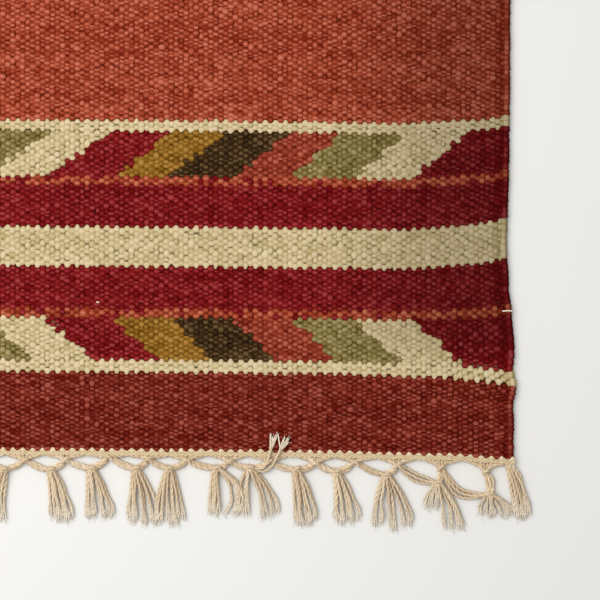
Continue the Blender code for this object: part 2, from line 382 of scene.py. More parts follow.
@dataclass(frozen=True)
class CottonFinish:
    """Plied cotton warp with no dye: off-white with a warm cast, matt, with painted shade where the plies
    meet.
    """

    name: str = "cotton"
    # The first colour is painted shade where the plies meet
    painted_crease_shade: str = "A67E48"
    shade: str = "D5BA94"
    light: str = "F1E0C6"
    grain: float = 0.0009
    grain_share: float = 0.4
    # How far from where plies meet the painted shade reaches, and its strength
    crease_reach: float = 0.6
    crease_share: float = 0.65
    surface: YarnSurface = YarnSurface(depth=0.0002)

    def material(self) -> bpy.types.Material:
        """Builds the material.

        Returns:
            A node material that reads the strand's tone and how near a point is to where two plies meet,
            where it paints shade.
        """
        made = bpy.data.materials.new(f"{self.name}_yarn")
        made.use_nodes = True
        tree = made.node_tree
        place = add_node(tree, "ShaderNodeTexCoord").outputs["Object"]
        fibres = add_node(tree, "ShaderNodeTexNoise", {
            "Vector": place, "Scale": 1 / self.grain, "Detail": 2.0,
        })
        tone = add_node(tree, "ShaderNodeAttribute", attribute_name="tone")
        mixed = add_node(tree, "ShaderNodeMath", {
            0: fibres.outputs["Fac"], 1: self.grain_share, 2: tone.outputs["Fac"],
        }, operation="MULTIPLY_ADD")
        centred = add_node(tree, "ShaderNodeMath", {0: mixed.outputs[0], 1: self.grain_share / 2},
                           operation="SUBTRACT", use_clamp=True)
        body = add_node(tree, "ShaderNodeMix", {
            MIX_FACTOR: centred.outputs[0], MIX_A: linear(self.shade), MIX_B: linear(self.light),
        }, data_type="RGBA")
        # Painted shade: where two plies meet the colour goes towards the crease colour
        lobe = add_node(tree, "ShaderNodeAttribute", attribute_name="lobe")
        open_share = add_node(tree, "ShaderNodeMapRange", {
            "Value": lobe.outputs["Fac"], "From Max": self.crease_reach, "To Min": 1 - self.crease_share,
        })
        colour = add_node(tree, "ShaderNodeMix", {
            MIX_FACTOR: open_share.outputs[0], MIX_A: linear(self.painted_crease_shade),
            MIX_B: body.outputs[MIX_RESULT],
        }, data_type="RGBA")
        self.surface.set_up(tree, colour.outputs[MIX_RESULT], fibres.outputs["Fac"])
        return made


# Each yarn's colours from the hollows up: painted shade of the hollows, the body's shade and light, painted
# highlight of the crown
WOOL = {
    Yarn.FIELD_RUST: WovenFinish("field_rust", "6C1A08", "822A16", "A64C34", "C8745E",
                                 heather=1.1, heather_length=0.040, heather_width=0.0030),
    Yarn.END_RUST: WovenFinish("end_rust", "540802", "60160C", "803022", "A8584A",
                               heather=1.3, heather_length=0.040, heather_width=0.0022),
    Yarn.THIN_RUST: WovenFinish("thin_rust", "721E0C", "88321C", "AA4E36", "C6775A"),
    Yarn.MAROON: WovenFinish("maroon", "540205", "640A0C", "801A1C", "A04042", right_darkening=0.44),
    Yarn.CREAM: WovenFinish("cream", "9C8E58", "BCA67E", "CEBA93", "E0D0AC", painted_highlight_share=0.55, right_darkening=0.34),
    Yarn.GREEN: WovenFinish("green", "5C4E24", "746432", "8E7F50", "A89A70"),
    Yarn.SALMON: WovenFinish("salmon", "681A0C", "7E2A1B", "96402E", "B8664F"),
    Yarn.BROWN: WovenFinish("brown", "1C1206", "33200E", "47321A", "6E583A"),
    Yarn.MUSTARD: WovenFinish("mustard", "65420C", "7A5216", "926826", "B08646"),
}
HEADING_COTTON = WovenFinish("heading", "C8B088", "D4BE98", "E4D0AE", "EBDABE", right_darkening=0.0)
# The cotton's colours: painted shade where plies meet, then the body's shade and light
COTTON = CottonFinish()
FRAYED_COTTON = CottonFinish("frayed_cotton", "C9AC82", "E0CAAA", "F8EEDD")
BLOCK_ORDER = (Yarn.CREAM, Yarn.GREEN, Yarn.SALMON, Yarn.BROWN, Yarn.MUSTARD, Yarn.MAROON)


@dataclass(frozen=True)
class BlockEdge:
    """Where a slanted block starts, in warps from the right selvedge, on each side of its band."""

    guard_side: float
    inner_side: float


@dataclass(frozen=True)
class BlockRow:
    """A band of slanted blocks between two plain margins."""

    edges: tuple[BlockEdge, ...]
    step: float = 12.05
    blocks: int = 13

    def all_edges(self) -> list[BlockEdge]:
        """Lists every block's edge, the further ones at an even step.

        Returns:
            The edges, from the right selvedge on.
        """
        edges = list(self.edges)
        while len(edges) <= self.blocks:
            last = edges[-1]
            edges.append(BlockEdge(last.guard_side + self.step, last.inner_side + self.step))
        return edges

    def round_trip(self) -> float:
        """Counts the warps that it takes on average to come round to the same colour.

        Returns:
            The number of warps, which needn't be whole.
        """
        edges = self.all_edges()
        width = edges[-1].guard_side - edges[0].guard_side
        return width / self.blocks * len(BLOCK_ORDER)

    def yarns(self, warps: np.ndarray, guard_share: float) -> np.ndarray:
        """Says which yarn covers each warp.

        Args:
            warps: warps counted from the right selvedge.
            guard_share: how near the pick is to the guard line's side, from 0 to 1.

        Returns:
            The yarn of each warp.
        """
        edges = self.all_edges()
        places = [e.inner_side + (e.guard_side - e.inner_side) * guard_share for e in edges]
        block = np.searchsorted(np.array(places), warps, side="right") - 1
        order = np.array([*BLOCK_ORDER * 3][:self.blocks], dtype=object)
        inside = (block >= 0) & (block < self.blocks)
        return np.where(inside, order[np.clip(block, 0, self.blocks - 1)], Yarn.MAROON)


LOWER_BLOCKS = BlockRow((
    BlockEdge(10.4, 19.3), BlockEdge(21.9, 31.4), BlockEdge(36.1, 43.6), BlockEdge(47.6, 56.1),
    BlockEdge(61.1, 68.4), BlockEdge(71.3, 80.5), BlockEdge(84.6, 94.5),
))
UPPER_BLOCKS = BlockRow((
    BlockEdge(8.9, 19.5), BlockEdge(21.9, 31.3), BlockEdge(34.9, 44.0), BlockEdge(45.1, 55.2),
    BlockEdge(57.6, 68.8), BlockEdge(69.2, 78.9), BlockEdge(81.3, 92.9),
))


@dataclass(frozen=True)
class Band:
    """A stripe across the web, from one place to another along it, in so many picks."""

    start: float
    stop: float
    picks: int
    yarn: Yarn
    blocks: BlockRow | None = None
    guard_at_start: bool = True


END_BANDS = (
    Band(0.0037, 0.0560, 32, Yarn.END_RUST),
    Band(0.0560, 0.0645, 4, Yarn.CREAM),
    Band(0.0645, 0.0932, 16, Yarn.MAROON, LOWER_BLOCKS, True),
    Band(0.0932, 0.0992, 3, Yarn.THIN_RUST),
    Band(0.0992, 0.1272, 15, Yarn.MAROON),
    Band(0.1272, 0.1542, 13, Yarn.CREAM),
    Band(0.1542, 0.1823, 15, Yarn.MAROON),
    Band(0.1823, 0.1880, 3, Yarn.THIN_RUST),
    Band(0.1880, 0.2184, 16, Yarn.MAROON, UPPER_BLOCKS, False),
    Band(0.2184, 0.2258, 4, Yarn.CREAM),
)
FIELD_PICKS = 256


@dataclass(frozen=True)
class Loom:
    """The web's sizes, and the way its rows and columns lie on the floor.

    Rows follow the near end's line as far as near_hold along the web, and the far end's
    from far_hold on. They bend up to the right selvedge from corner_start out, and columns
    follow the selvedges' drift within side_reach of them.
    """

    width: float = 0.600
    length: float = 0.900
    warps: int = 180
    cord_width: float = 0.0054
    side_reach: float = 0.065
    corner_start: float = 0.17
    corner_power: float = 3.3
    near_hold: float = 0.25
    far_hold: float = 0.85

    @property
    def warp_pitch(self) -> float:
        """Spacing of the warps."""
        return self.width / self.warps

    def bands(self) -> list[Band]:
        """Lists the stripes from the near end to the far one, which mirror each other.

        Returns:
            The bands, without gaps between them.
        """
        field_start = END_BANDS[-1].stop
        middle = Band(field_start, self.length - field_start, FIELD_PICKS, Yarn.FIELD_RUST)
        mirrored = [
            Band(self.length - b.stop, self.length - b.start, b.picks, b.yarn, b.blocks,
                 not b.guard_at_start)
            for b in reversed(END_BANDS)
        ]
        return [*END_BANDS, middle, *mirrored]

    def place(self, x: np.ndarray, along: np.ndarray) -> tuple[np.ndarray, np.ndarray]:
        """Finds where points of the even weave lie on the real, wavering rug.

        Args:
            x: place across the even weave.
            along: place along it, from the near heading's outer edge.

        Returns:
            X and Y in the rug's frame.
        """
        far_share = smooth((along - self.near_hold) / (self.far_hold - self.near_hold))
        lift = -drift_at(NEAR_END_BY_X, x) * (1 - far_share) + drift_at(FAR_END_BY_X, x) * far_share
        reach = self.width / 2 - self.corner_start
        corner = np.clip((x - self.corner_start) / reach, 0, 1) ** self.corner_power
        y = -self.length / 2 + along + lift + corner * drift_at(RIGHT_CORNER_LIFT, along)
        near = y + self.length / 2
        inner = self.width / 2 - self.side_reach
        right = smooth((x - inner) / self.side_reach) * drift_at(RIGHT_EDGE_FROM_NEAR_END, near)
        left = smooth((-x - inner) / self.side_reach) * drift_at(LEFT_EDGE_FROM_NEAR_END, near)
        return x + right - left, y

    def stretch(self, x: np.ndarray, along: np.ndarray) -> np.ndarray:
        """Measures how much wider than even the rows lie.

        Args:
            x: place across the even weave.
            along: place along it, from the near heading's outer edge.

        Returns:
            The factor at each point, 1 where they lie as even rows do.
        """
        reach = 0.001
        _, above = self.place(x, along + reach)
        _, below = self.place(x, along - reach)
        return (above - below) / (2 * reach)


LOOM = Loom()


def point_mesh(name: str, places: np.ndarray, edges: list, values: dict[str, np.ndarray]) -> bpy.types.Mesh:
    """Makes a mesh of points, and edges if any, that carries named numbers.

    Args:
        name: the mesh's name.
        places: one row of x, y, z for each point.
        edges: pairs of point numbers.
        values: one number for each point under each name.

    Returns:
        The mesh.
    """
    mesh = bpy.data.meshes.new(name)
    mesh.from_pydata(places.tolist(), edges, [])
    for label, numbers in values.items():
        layer = mesh.attributes.new(label, "FLOAT", "POINT")
        layer.data.foreach_set("value", np.asarray(numbers, dtype=np.float32))
    return mesh


def grow(name: str, mesh: bpy.types.Mesh, tree: bpy.types.NodeTree, settings: dict) -> bpy.types.Object:
    """Runs a Geometry Nodes tree on a mesh and keeps the plain result.

    Args:
        name: the new piece's name.
        mesh: what the tree starts from.
        tree: the tree.
        settings: a value for each of the tree's named inputs.

    Returns:
        A mesh object at the origin, with no modifier.
    """
    start = new_object(f"{name}_start", mesh)
    nodes = start.modifiers.new("grow", "NODES")
    nodes.node_group = tree
    for item in tree.interface.items_tree:
        if item.item_type == "SOCKET" and item.in_out == "INPUT" and item.name in settings:
            nodes[item.identifier] = settings[item.name]
    evaluated = start.evaluated_get(bpy.context.evaluated_depsgraph_get())
    result = bpy.data.meshes.new_from_object(evaluated)
    bpy.data.objects.remove(start)
    result.name = name
    return new_object(name, result)


def new_tree(name: str, inputs: dict[str, str]) -> tuple[bpy.types.NodeTree, bpy.types.Node]:
    """Starts a Geometry Nodes tree.

    Args:
        name: the tree's name.
        inputs: the socket type of each named input after the geometry.

    Returns:
        The tree and its input node.
    """
    tree = bpy.data.node_groups.new(name, "GeometryNodeTree")
    tree.interface.new_socket("Geometry", in_out="INPUT", socket_type="NodeSocketGeometry")
    for label, kind in inputs.items():
        tree.interface.new_socket(label, in_out="INPUT", socket_type=kind)
    tree.interface.new_socket("Geometry", in_out="OUTPUT", socket_type="NodeSocketGeometry")
    return tree, tree.nodes.new("NodeGroupInput")


def close_tree(tree: bpy.types.NodeTree, geometry: bpy.types.NodeSocket,
               material: bpy.types.NodeSocket) -> None:
    """Ends a tree: instances made real, shaded smooth, and given their material.

    Args:
        tree: the tree to end.
        geometry: the socket with what it made.
        material: the socket with the material.
    """
    real = add_node(tree, "GeometryNodeRealizeInstances", {"Geometry": geometry})
    soft = add_node(tree, "GeometryNodeSetShadeSmooth", {"Geometry": real.outputs[0]})
    dressed = add_node(tree, "GeometryNodeSetMaterial", {"Geometry": soft.outputs[0], "Material": material})
    add_node(tree, "NodeGroupOutput", {"Geometry": dressed.outputs[0]})


def bump_tree() -> bpy.types.NodeTree:
    """Builds the tree that sets one small shape on every point.

    Returns:
        A tree that reads the points' yaw, spacing, reach (a share of the half length) and
        swell (a share of the height).
    """
    tree, given = new_tree("yarn_bumps", {
        "Shape": "NodeSocketObject", "Half length": "NodeSocketFloat",
        "Height": "NodeSocketFloat", "Material": "NodeSocketMaterial",
    })
    shape = add_node(tree, "GeometryNodeObjectInfo", {"Object": given.outputs["Shape"]})
    read = {}
    for label in ("yaw", "spacing", "swell", "reach"):
        node = add_node(tree, "GeometryNodeInputNamedAttribute", {"Name": label}, data_type="FLOAT")
        read[label] = node.outputs["Attribute"]
    swollen = {}
    for label, share in (("Half length", "reach"), ("Height", "swell")):
        node = add_node(tree, "ShaderNodeMath", {0: given.outputs[label], 1: read[share]},
                        operation="MULTIPLY")
        swollen[label] = node.outputs[0]
    size = add_node(tree, "ShaderNodeCombineXYZ", {
        "X": swollen["Half length"], "Y": read["spacing"], "Z": swollen["Height"],
    })
    euler = add_node(tree, "ShaderNodeCombineXYZ", {"Z": read["yaw"]})
    turn = add_node(tree, "FunctionNodeEulerToRotation", {"Euler": euler.outputs[0]})
    bumps = add_node(tree, "GeometryNodeInstanceOnPoints", {
        "Points": given.outputs["Geometry"], "Instance": shape.outputs["Geometry"],
        "Rotation": turn.outputs[0], "Scale": size.outputs[0],
    })
    close_tree(tree, bumps.outputs[0], given.outputs["Material"])
    return tree


def strand_tree() -> bpy.types.NodeTree:
    """Builds the tree that lays plied yarn along every run of edges.

    Returns:
        A tree that reads the points' thickness and phase, and writes lobe, which is 0
        where two plies meet and 1 on the back of a ply.
    """
    tree, given = new_tree("plied_yarn", {
        "Sides": "NodeSocketInt", "Lobe": "NodeSocketFloat", "Twist pitch": "NodeSocketFloat",
        "Material": "NodeSocketMaterial",
    })
    ring = add_node(tree, "GeometryNodeCurvePrimitiveCircle", {
        "Resolution": given.outputs["Sides"], "Radius": 1.0,
    })
    place = add_node(tree, "GeometryNodeInputPosition").outputs[0]
    parts = add_node(tree, "ShaderNodeSeparateXYZ", {0: place})
    x_squared = add_node(tree, "ShaderNodeMath", {0: parts.outputs["X"], 1: 2.0}, operation="POWER")
    two_fold = add_node(tree, "ShaderNodeMath", {0: x_squared.outputs[0], 1: 2.0, 2: -1.0},
                        operation="MULTIPLY_ADD")
    # lobe marks where plies meet, for the cotton's painted shade
    lobe = add_node(tree, "GeometryNodeStoreNamedAttribute", {
        "Geometry": ring.outputs["Curve"], "Name": "lobe", "Value": x_squared.outputs[0],
    }, data_type="FLOAT", domain="POINT")
    swell = add_node(tree, "ShaderNodeMath", {0: two_fold.outputs[0], 1: given.outputs["Lobe"]},
                     operation="MULTIPLY")
    push = add_node(tree, "ShaderNodeVectorMath", {0: place, "Scale": swell.outputs[0]}, operation="SCALE")
    profile = add_node(tree, "GeometryNodeSetPosition", {
        "Geometry": lobe.outputs[0], "Offset": push.outputs[0],
    })
    course = add_node(tree, "GeometryNodeMeshToCurve", {"Mesh": given.outputs["Geometry"]})
    walked = add_node(tree, "GeometryNodeSplineParameter").outputs["Length"]
    turns = add_node(tree, "ShaderNodeMath", {0: walked, 1: given.outputs["Twist pitch"]},
                     operation="DIVIDE")
    phase = add_node(tree, "GeometryNodeInputNamedAttribute", {"Name": "phase"}, data_type="FLOAT")
    angle = add_node(tree, "ShaderNodeMath", {
        0: turns.outputs[0], 1: math.tau, 2: phase.outputs["Attribute"],
    }, operation="MULTIPLY_ADD")
    twisted = add_node(tree, "GeometryNodeSetCurveTilt", {
        "Curve": course.outputs[0], "Tilt": angle.outputs[0],
    })
    thickness = add_node(tree, "GeometryNodeInputNamedAttribute", {"Name": "thickness"}, data_type="FLOAT")
    tube = add_node(tree, "GeometryNodeCurveToMesh", {
        "Curve": twisted.outputs[0], "Profile Curve": profile.outputs[0],
        "Scale": thickness.outputs["Attribute"], "Fill Caps": True,
    })
    close_tree(tree, tube.outputs[0], given.outputs["Material"])
    return tree


def dress(piece: bpy.types.Object, slot: str, *nodes: str) -> bpy.types.Object:
    """Makes a piece ride on the rug, hides the solids it stands for, and logs its triangles.

    Args:
        piece: the finished piece.
        slot: the record's material slot; not used.
        nodes: the solids that it replaces, if any.

    Returns:
        The piece.
    """
    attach(piece, BODY)
    if nodes:
        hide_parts(*nodes)
    faces = sum(len(p.vertices) - 2 for p in piece.data.polygons)
    log.info("%s: %d triangles", piece.name, faces)
    return piece


@dataclass
class WeftBumps:
    """The bumps that the weft makes over the warps, one yarn at a time.

    A pick is a pass of the weft, and its bumps sit on every other warp. Abrash is the slow
    change of dye from pick to pick. The groove runs beside each selvedge cord, where the
    outer bumps sit deeper. A tooth is a bump drawn out to a point, along the cream lines.
    """

    loom: Loom
    half_length: float = 0.0026
    foot: float = 0.00290
    height: float = 0.00086
    fill: float = 1.00
    slant: float = math.radians(-4)
    slant_spread: float = math.radians(6)
    place_spread: float = 0.00018
    pick_spread: float = 0.000126
    foot_spread: float = 0.00009
    swell_spread: float = 0.09
    reach_spread: float = 0.10
    spacing_spread: float = 0.10
    least_spacing: float = 0.55
    tone_run: float = 0.030
    run_tone_spread: float = 0.24
    bump_tone_spread: float = 0.13
    abrash_kept: float = 0.72
    abrash_spread: float = 0.09
    groove_drop: float = 0.00034
    groove_warps: int = 3
    tooth_fill: float = 0.98
    tooth_rise: float = 0.0002
    mixed_share: float = 0.15
    waves: int = 7
    wave_height: float = 0.00020
    calm_reach: float = 0.005
    random: np.random.Generator = field(default_factory=lambda: np.random.default_rng(SEED))

    def __post_init__(self) -> None:
        """Draws the waves that the picks stray by: their turns across and along, and where each starts."""
        across = math.tau / self.random.uniform(0.022, 0.070, self.waves)
        along = math.tau / self.random.uniform(0.009, 0.018, self.waves)
        side = self.random.choice((-1.0, 1.0), self.waves)
        self.strays = np.column_stack([across * side, along, self.random.uniform(0, math.tau, self.waves)])

    def shape(self) -> bpy.types.Object:
        """Builds the rice-grain form of one bump, two units long and one high.

        Returns:
            A loose object with the form.
        """
        shoulder = 0.42
        side = 0.30
        tip = 0.05
        grain = bmesh.new()
        rings = []
        for x in (-shoulder, shoulder):
            rings.append([grain.verts.new(co) for co in ((x, -1, side), (x, 0, 1), (x, 1, side))])
        for x, ring in ((-1, rings[0]), (1, rings[1])):
            end = grain.verts.new((x, 0, tip))
            for a, b in ((0, 1), (1, 2), (2, 0)):
                grain.faces.new((end, ring[a], ring[b]))
        for a, b in ((0, 1), (1, 2), (2, 0)):
            grain.faces.new((rings[0][a], rings[1][a], rings[1][b], rings[0][b]))
        return self.finished("weft_bump", grain)

    @staticmethod
    def finished(name: str, grain: bmesh.types.BMesh) -> bpy.types.Object:
        """Turns a bump's faces outwards and gives its underside a hard rim, so that the top stays soft.

        Args:
            name: the object's name.
            grain: the form, which is freed.

        Returns:
            A loose object with the form.
        """
        facing_down = -0.3
        bmesh.ops.recalc_face_normals(grain, faces=grain.faces)
        for face in grain.faces:
            if face.normal.z < facing_down:
                for edge in face.edges:
                    edge.smooth = False
        mesh = form_mesh(name, grain)
        mesh.shade_smooth()
        return bpy.data.objects.new(name, mesh)

    def tooth(self) -> bpy.types.Object:
        """Builds a bump that is drawn out to a point on its +Y side, two units long and one high.

        Returns:
            A loose object with the form.
        """
        outline = ((-1, -0.4, 0.05), (-0.55, -1, 0.2), (0.55, -1, 0.2), (1, -0.4, 0.05),
                   (0.30, 0.9, 0.2), (-0.30, 0.9, 0.2))
        grain = bmesh.new()
        rim = [grain.verts.new(co) for co in outline]
        top = grain.verts.new((0, -0.35, 1))
        for a, b in zip(rim, rim[1:] + rim[:1]):
            grain.faces.new((a, b, top))
        grain.faces.new(rim[::-1])
        return self.finished("weft_tooth", grain)

    def waver(self, x: np.ndarray, along: float, band: Band) -> tuple[np.ndarray, np.ndarray]:
        """Says how far a pick strays from its even place, which it doesn't at a band's edges.

        Args:
            x: places across the rug.
            along: the pick's place along it.
            band: the band that it is in.

        Returns:
            The stray and the share by which the picks lie wider there, at each place.
        """
        calm = min(1.0, (along - band.start) / self.calm_reach, (band.stop - along) / self.calm_reach)
        turn = np.outer(x, self.strays[:, 0]) + along * self.strays[:, 1] + self.strays[:, 2]
        size = self.wave_height * calm
        return size * np.sin(turn).sum(axis=1), size * (np.cos(turn) * self.strays[:, 1]).sum(axis=1)

    def tones(self, x: np.ndarray, abrash: float) -> np.ndarray:
        """Gives the bumps of one pick their tones, which change slowly along the yarn.

        Args:
            x: the bumps' places across the rug.
            abrash: the slow change from pick to pick.

        Returns:
            A tone for each bump, 0 dark to 1 light.
        """
        count = int(self.loom.width / self.tone_run) + 3
        knots = np.linspace(-self.loom.width / 2, self.loom.width / 2, count)
        slow = np.interp(x, knots, self.random.normal(0, self.run_tone_spread, count))
        return 0.5 + abrash + slow + self.random.normal(0, self.bump_tone_spread, len(x))

    def rows(self) -> dict[str, np.ndarray]:
        """Works out every bump of the web.

        Returns:
            Arrays for place, yarn, tone, yaw, spacing, swell and reach, for the place along
            the web, and for whether the bump is a tooth.
        """
        loom = self.loom
        columns = np.arange(1, loom.warps - 1)
        labels = ("x", "y", "z", "yarn", "tone", "yaw", "spacing", "swell", "reach", "along", "tooth")
        gathered: dict[str, list] = {label: [] for label in labels}
        pick = 0
        abrash = 0.0
        for band in loom.bands():
            pitch = (band.stop - band.start) / band.picks
            for step in range(band.picks):
                along = band.start + (step + 0.5) * pitch
                chosen = columns[(columns + pick) % 2 == 0]
                even_x = -loom.width / 2 + (chosen + 0.5) * loom.warp_pitch
                abrash = self.abrash_kept * abrash + self.random.normal(0, self.abrash_spread)
                count = len(chosen)
                stray, wider = self.waver(even_x, along, band)
                x, y = loom.place(even_x, along + stray)
                gathered["x"].append(x + self.random.normal(0, self.place_spread, count))
                gathered["y"].append(y + self.random.normal(0, self.pick_spread, count))
                from_edge = np.minimum(chosen, loom.warps - 1 - chosen)
                depth = np.clip((self.groove_warps - from_edge) / (self.groove_warps - 1), 0, 1)
                teeth = band.yarn is Yarn.CREAM and step in (0, band.picks - 1)
                foot = self.foot + (self.tooth_rise if teeth else 0.0) - self.groove_drop * depth
                gathered["z"].append(foot + self.random.normal(0, self.foot_spread, count))
                yarns = self.yarns(band, step, loom.warps - 0.5 - chosen)
                if band.yarn is Yarn.THIN_RUST:
                    yarns[self.random.random(count) < self.mixed_share] = Yarn.MAROON
                gathered["yarn"].append(yarns)
                gathered["tone"].append(self.tones(x, abrash))
                turn = math.pi if teeth and step == 0 else 0.0
                gathered["yaw"].append(self.random.normal(turn + self.slant, self.slant_spread, count))
                spread = pitch * loom.stretch(even_x, np.full(count, along))
                spread = spread * np.maximum(1 + wider, self.least_spacing)
                spread *= self.tooth_fill if teeth else self.fill
                gathered["spacing"].append(spread * self.random.normal(1, self.spacing_spread, count))
                gathered["swell"].append(self.random.normal(1, self.swell_spread, count))
                gathered["reach"].append(self.random.normal(1, self.reach_spread, count))
                gathered["along"].append(np.full(count, along))
                gathered["tooth"].append(np.full(count, teeth))
                pick += 1
        return {name: np.concatenate(parts) for name, parts in gathered.items()}

    @staticmethod
    def yarns(band: Band, step: int, warps: np.ndarray) -> np.ndarray:
        """Says which yarn each bump of a pick is, two picks to each step of a slanted edge.

        Args:
            band: the band that the pick is in.
            step: the pick's number in the band.
            warps: the bumps' warps, counted from the right selvedge.

        Returns:
            The yarn of each bump.
        """
        if band.blocks is None:
            return np.full(len(warps), band.yarn, dtype=object)
        share = (step // 2) / ((band.picks + 1) // 2 - 1)
        return band.blocks.yarns(warps, 1 - share if band.guard_at_start else share)

    def build(self, tree: bpy.types.NodeTree,
              materials: dict[Yarn, bpy.types.Material]) -> list[bpy.types.Object]:
        """Builds a piece for each yarn, and two for the field.

        Args:
            tree: the tree that sets a shape on every point.
            materials: the wool for each yarn.

        Returns:
            The pieces.
        """
        rows = self.rows()
        shapes = {False: self.shape(), True: self.tooth()}
        pieces = []
        halves = {"near": rows["along"] < self.loom.length / 2, "far": rows["along"] >= self.loom.length / 2}
        for yarn in WOOL:
            parts = halves if yarn is Yarn.FIELD_RUST else {"": np.full(len(rows["x"]), True)}
            for label, part in parts.items():
                name = "_".join(word for word in ("weft", yarn.value, label) if word)
                grown = []
                for toothed, shape in shapes.items():
                    chosen = (rows["yarn"] == yarn) & part & (rows["tooth"] == toothed)
                    if not chosen.any():
                        continue
                    places = np.column_stack([rows[k][chosen] for k in ("x", "y", "z")])
                    values = {k: rows[k][chosen] for k in ("tone", "yaw", "spacing", "swell", "reach")}
                    grown.append(grow(name, point_mesh(name, places, [], values), tree, {
                        "Shape": shape, "Half length": self.half_length, "Height": self.height,
                        "Material": materials[yarn],
                    }))
                pieces.append(dress(join_pieces(name, grown), "wool_weft"))
        for shape in shapes.values():
            bpy.data.objects.remove(shape)
        return pieces


@dataclass
class WebBase:
    """The body of the cloth under the bumps: a thin closed sheet in the stripes' dark tones,
    with painted shade on its top between the bumps.

    Both ends share one pattern, folded at the web's middle. The block rows lie on either
    side of rows_parted, a share of the length. A cream line is inset where its teeth are.
    """

    loom: Loom
    columns: int = 60
    rows: int = 120
    top: float = 0.0028
    heading: float = 0.0040
    inset: float = 0.0012
    rows_parted: float = 0.15
    # Painted shade: between these heights the sheet's colour falls to this share, darkest on its top between
    # the bumps
    painted_shade_foot: float = 0.0008
    painted_shade_head: float = 0.0022
    painted_shade_tone: float = 0.42
    pick_pitch: float = 0.00175
    surface: YarnSurface = YarnSurface(0.8, 0.0004, 0.95, 0.1)

    def stripes(self, tree: bpy.types.NodeTree) -> bpy.types.NodeSocket:
        """Draws the bands and slanted blocks from the weave's own coordinates.

        Args:
            tree: the material's tree.

        Returns:
            The colour.
        """
        weave = add_node(tree, "ShaderNodeUVMap", uv_map="weave").outputs["UV"]
        parts = add_node(tree, "ShaderNodeSeparateXYZ", {0: weave})
        off_middle = add_node(tree, "ShaderNodeMath", {0: parts.outputs["Y"], 1: 0.5}, operation="SUBTRACT")
        folded = add_node(tree, "ShaderNodeMath", {0: off_middle.outputs[0]}, operation="ABSOLUTE")
        along = add_node(tree, "ShaderNodeMath", {0: 0.5, 1: folded.outputs[0]},
                         operation="SUBTRACT").outputs[0]
        bands = add_node(tree, "ShaderNodeValToRGB", {"Fac": along})
        stops = []
        last = END_BANDS[0].yarn
        for yarn, start in [*((b.yarn, b.start) for b in END_BANDS), (Yarn.FIELD_RUST, END_BANDS[-1].stop)]:
            shift = self.inset * ((yarn is Yarn.CREAM) - (last is Yarn.CREAM))
            stops.append(((start + shift) / self.loom.length, yarn))
            last = yarn
        self.fill_ramp(bands.color_ramp, stops)
        colour = bands.outputs[0]
        lower, upper = [b for b in END_BANDS if b.blocks]
        starts = []
        for band in (lower, upper):
            first = band.blocks.edges[0]
            ends = (first.guard_side, first.inner_side)
            low, high = ends if band.guard_at_start else reversed(ends)
            starts.append(add_node(tree, "ShaderNodeMapRange", {
                "Value": along, "From Min": band.start / self.loom.length,
                "From Max": band.stop / self.loom.length, "To Min": low, "To Max": high,
            }).outputs[0])
        past = add_node(tree, "ShaderNodeMath", {0: along, 1: self.rows_parted},
                        operation="GREATER_THAN").outputs[0]
        start = add_node(tree, "ShaderNodeMix", {"Factor": past, 2: starts[0], 3: starts[1]},
                         data_type="FLOAT")
        warps = add_node(tree, "ShaderNodeMath", {0: parts.outputs["X"], 1: float(self.loom.warps)},
                         operation="MULTIPLY")
        inside = add_node(tree, "ShaderNodeMath", {0: warps.outputs[0], 1: start.outputs[0]},
                          operation="SUBTRACT").outputs[0]
        round_trip = add_node(tree, "ShaderNodeMix", {
            "Factor": past, 2: lower.blocks.round_trip(), 3: upper.blocks.round_trip(),
        }, data_type="FLOAT")
        turn = add_node(tree, "ShaderNodeMath", {0: inside, 1: round_trip.outputs[0]},
                        operation="DIVIDE")
        share = add_node(tree, "ShaderNodeMath", {0: turn.outputs[0]}, operation="FRACT")
        blocks = add_node(tree, "ShaderNodeValToRGB", {"Fac": share.outputs[0]})
        self.fill_ramp(blocks.color_ramp,
                       [(number / len(BLOCK_ORDER), yarn) for number, yarn in enumerate(BLOCK_ORDER)])
        started = add_node(tree, "ShaderNodeMath", {0: inside, 1: 0.0}, operation="GREATER_THAN")
        ended = add_node(tree, "ShaderNodeMath", {
            0: turn.outputs[0], 1: lower.blocks.blocks / len(BLOCK_ORDER),
        }, operation="LESS_THAN")
        slanted = add_node(tree, "ShaderNodeMath", {0: started.outputs[0], 1: ended.outputs[0]},
                           operation="MULTIPLY")
        for band in (lower, upper):
            after = add_node(tree, "ShaderNodeMath", {0: along, 1: band.start / self.loom.length},
                             operation="GREATER_THAN")
            before = add_node(tree, "ShaderNodeMath", {0: along, 1: band.stop / self.loom.length},
                              operation="LESS_THAN")
            here = add_node(tree, "ShaderNodeMath", {0: after.outputs[0], 1: before.outputs[0]},
                            operation="MULTIPLY")
            mask = add_node(tree, "ShaderNodeMath", {0: here.outputs[0], 1: slanted.outputs[0]},
                            operation="MULTIPLY")
            colour = add_node(tree, "ShaderNodeMix", {
                MIX_FACTOR: mask.outputs[0], MIX_A: colour, MIX_B: blocks.outputs[0],
            }, data_type="RGBA").outputs[MIX_RESULT]
        return colour

    @staticmethod
    def fill_ramp(ramp: bpy.types.ColorRamp, stops: list[tuple[float, Yarn]]) -> None:
        """Gives a colour ramp one hard-edged step for each stop.

        Args:
            ramp: the ramp, as new.
            stops: where each yarn starts, from 0 to 1.
        """
        ramp.interpolation = "CONSTANT"
        for number, (place, yarn) in enumerate(stops):
            element = ramp.elements[number] if number < 2 else ramp.elements.new(place)
            element.position = place
            element.color = linear(WOOL[yarn].shade)

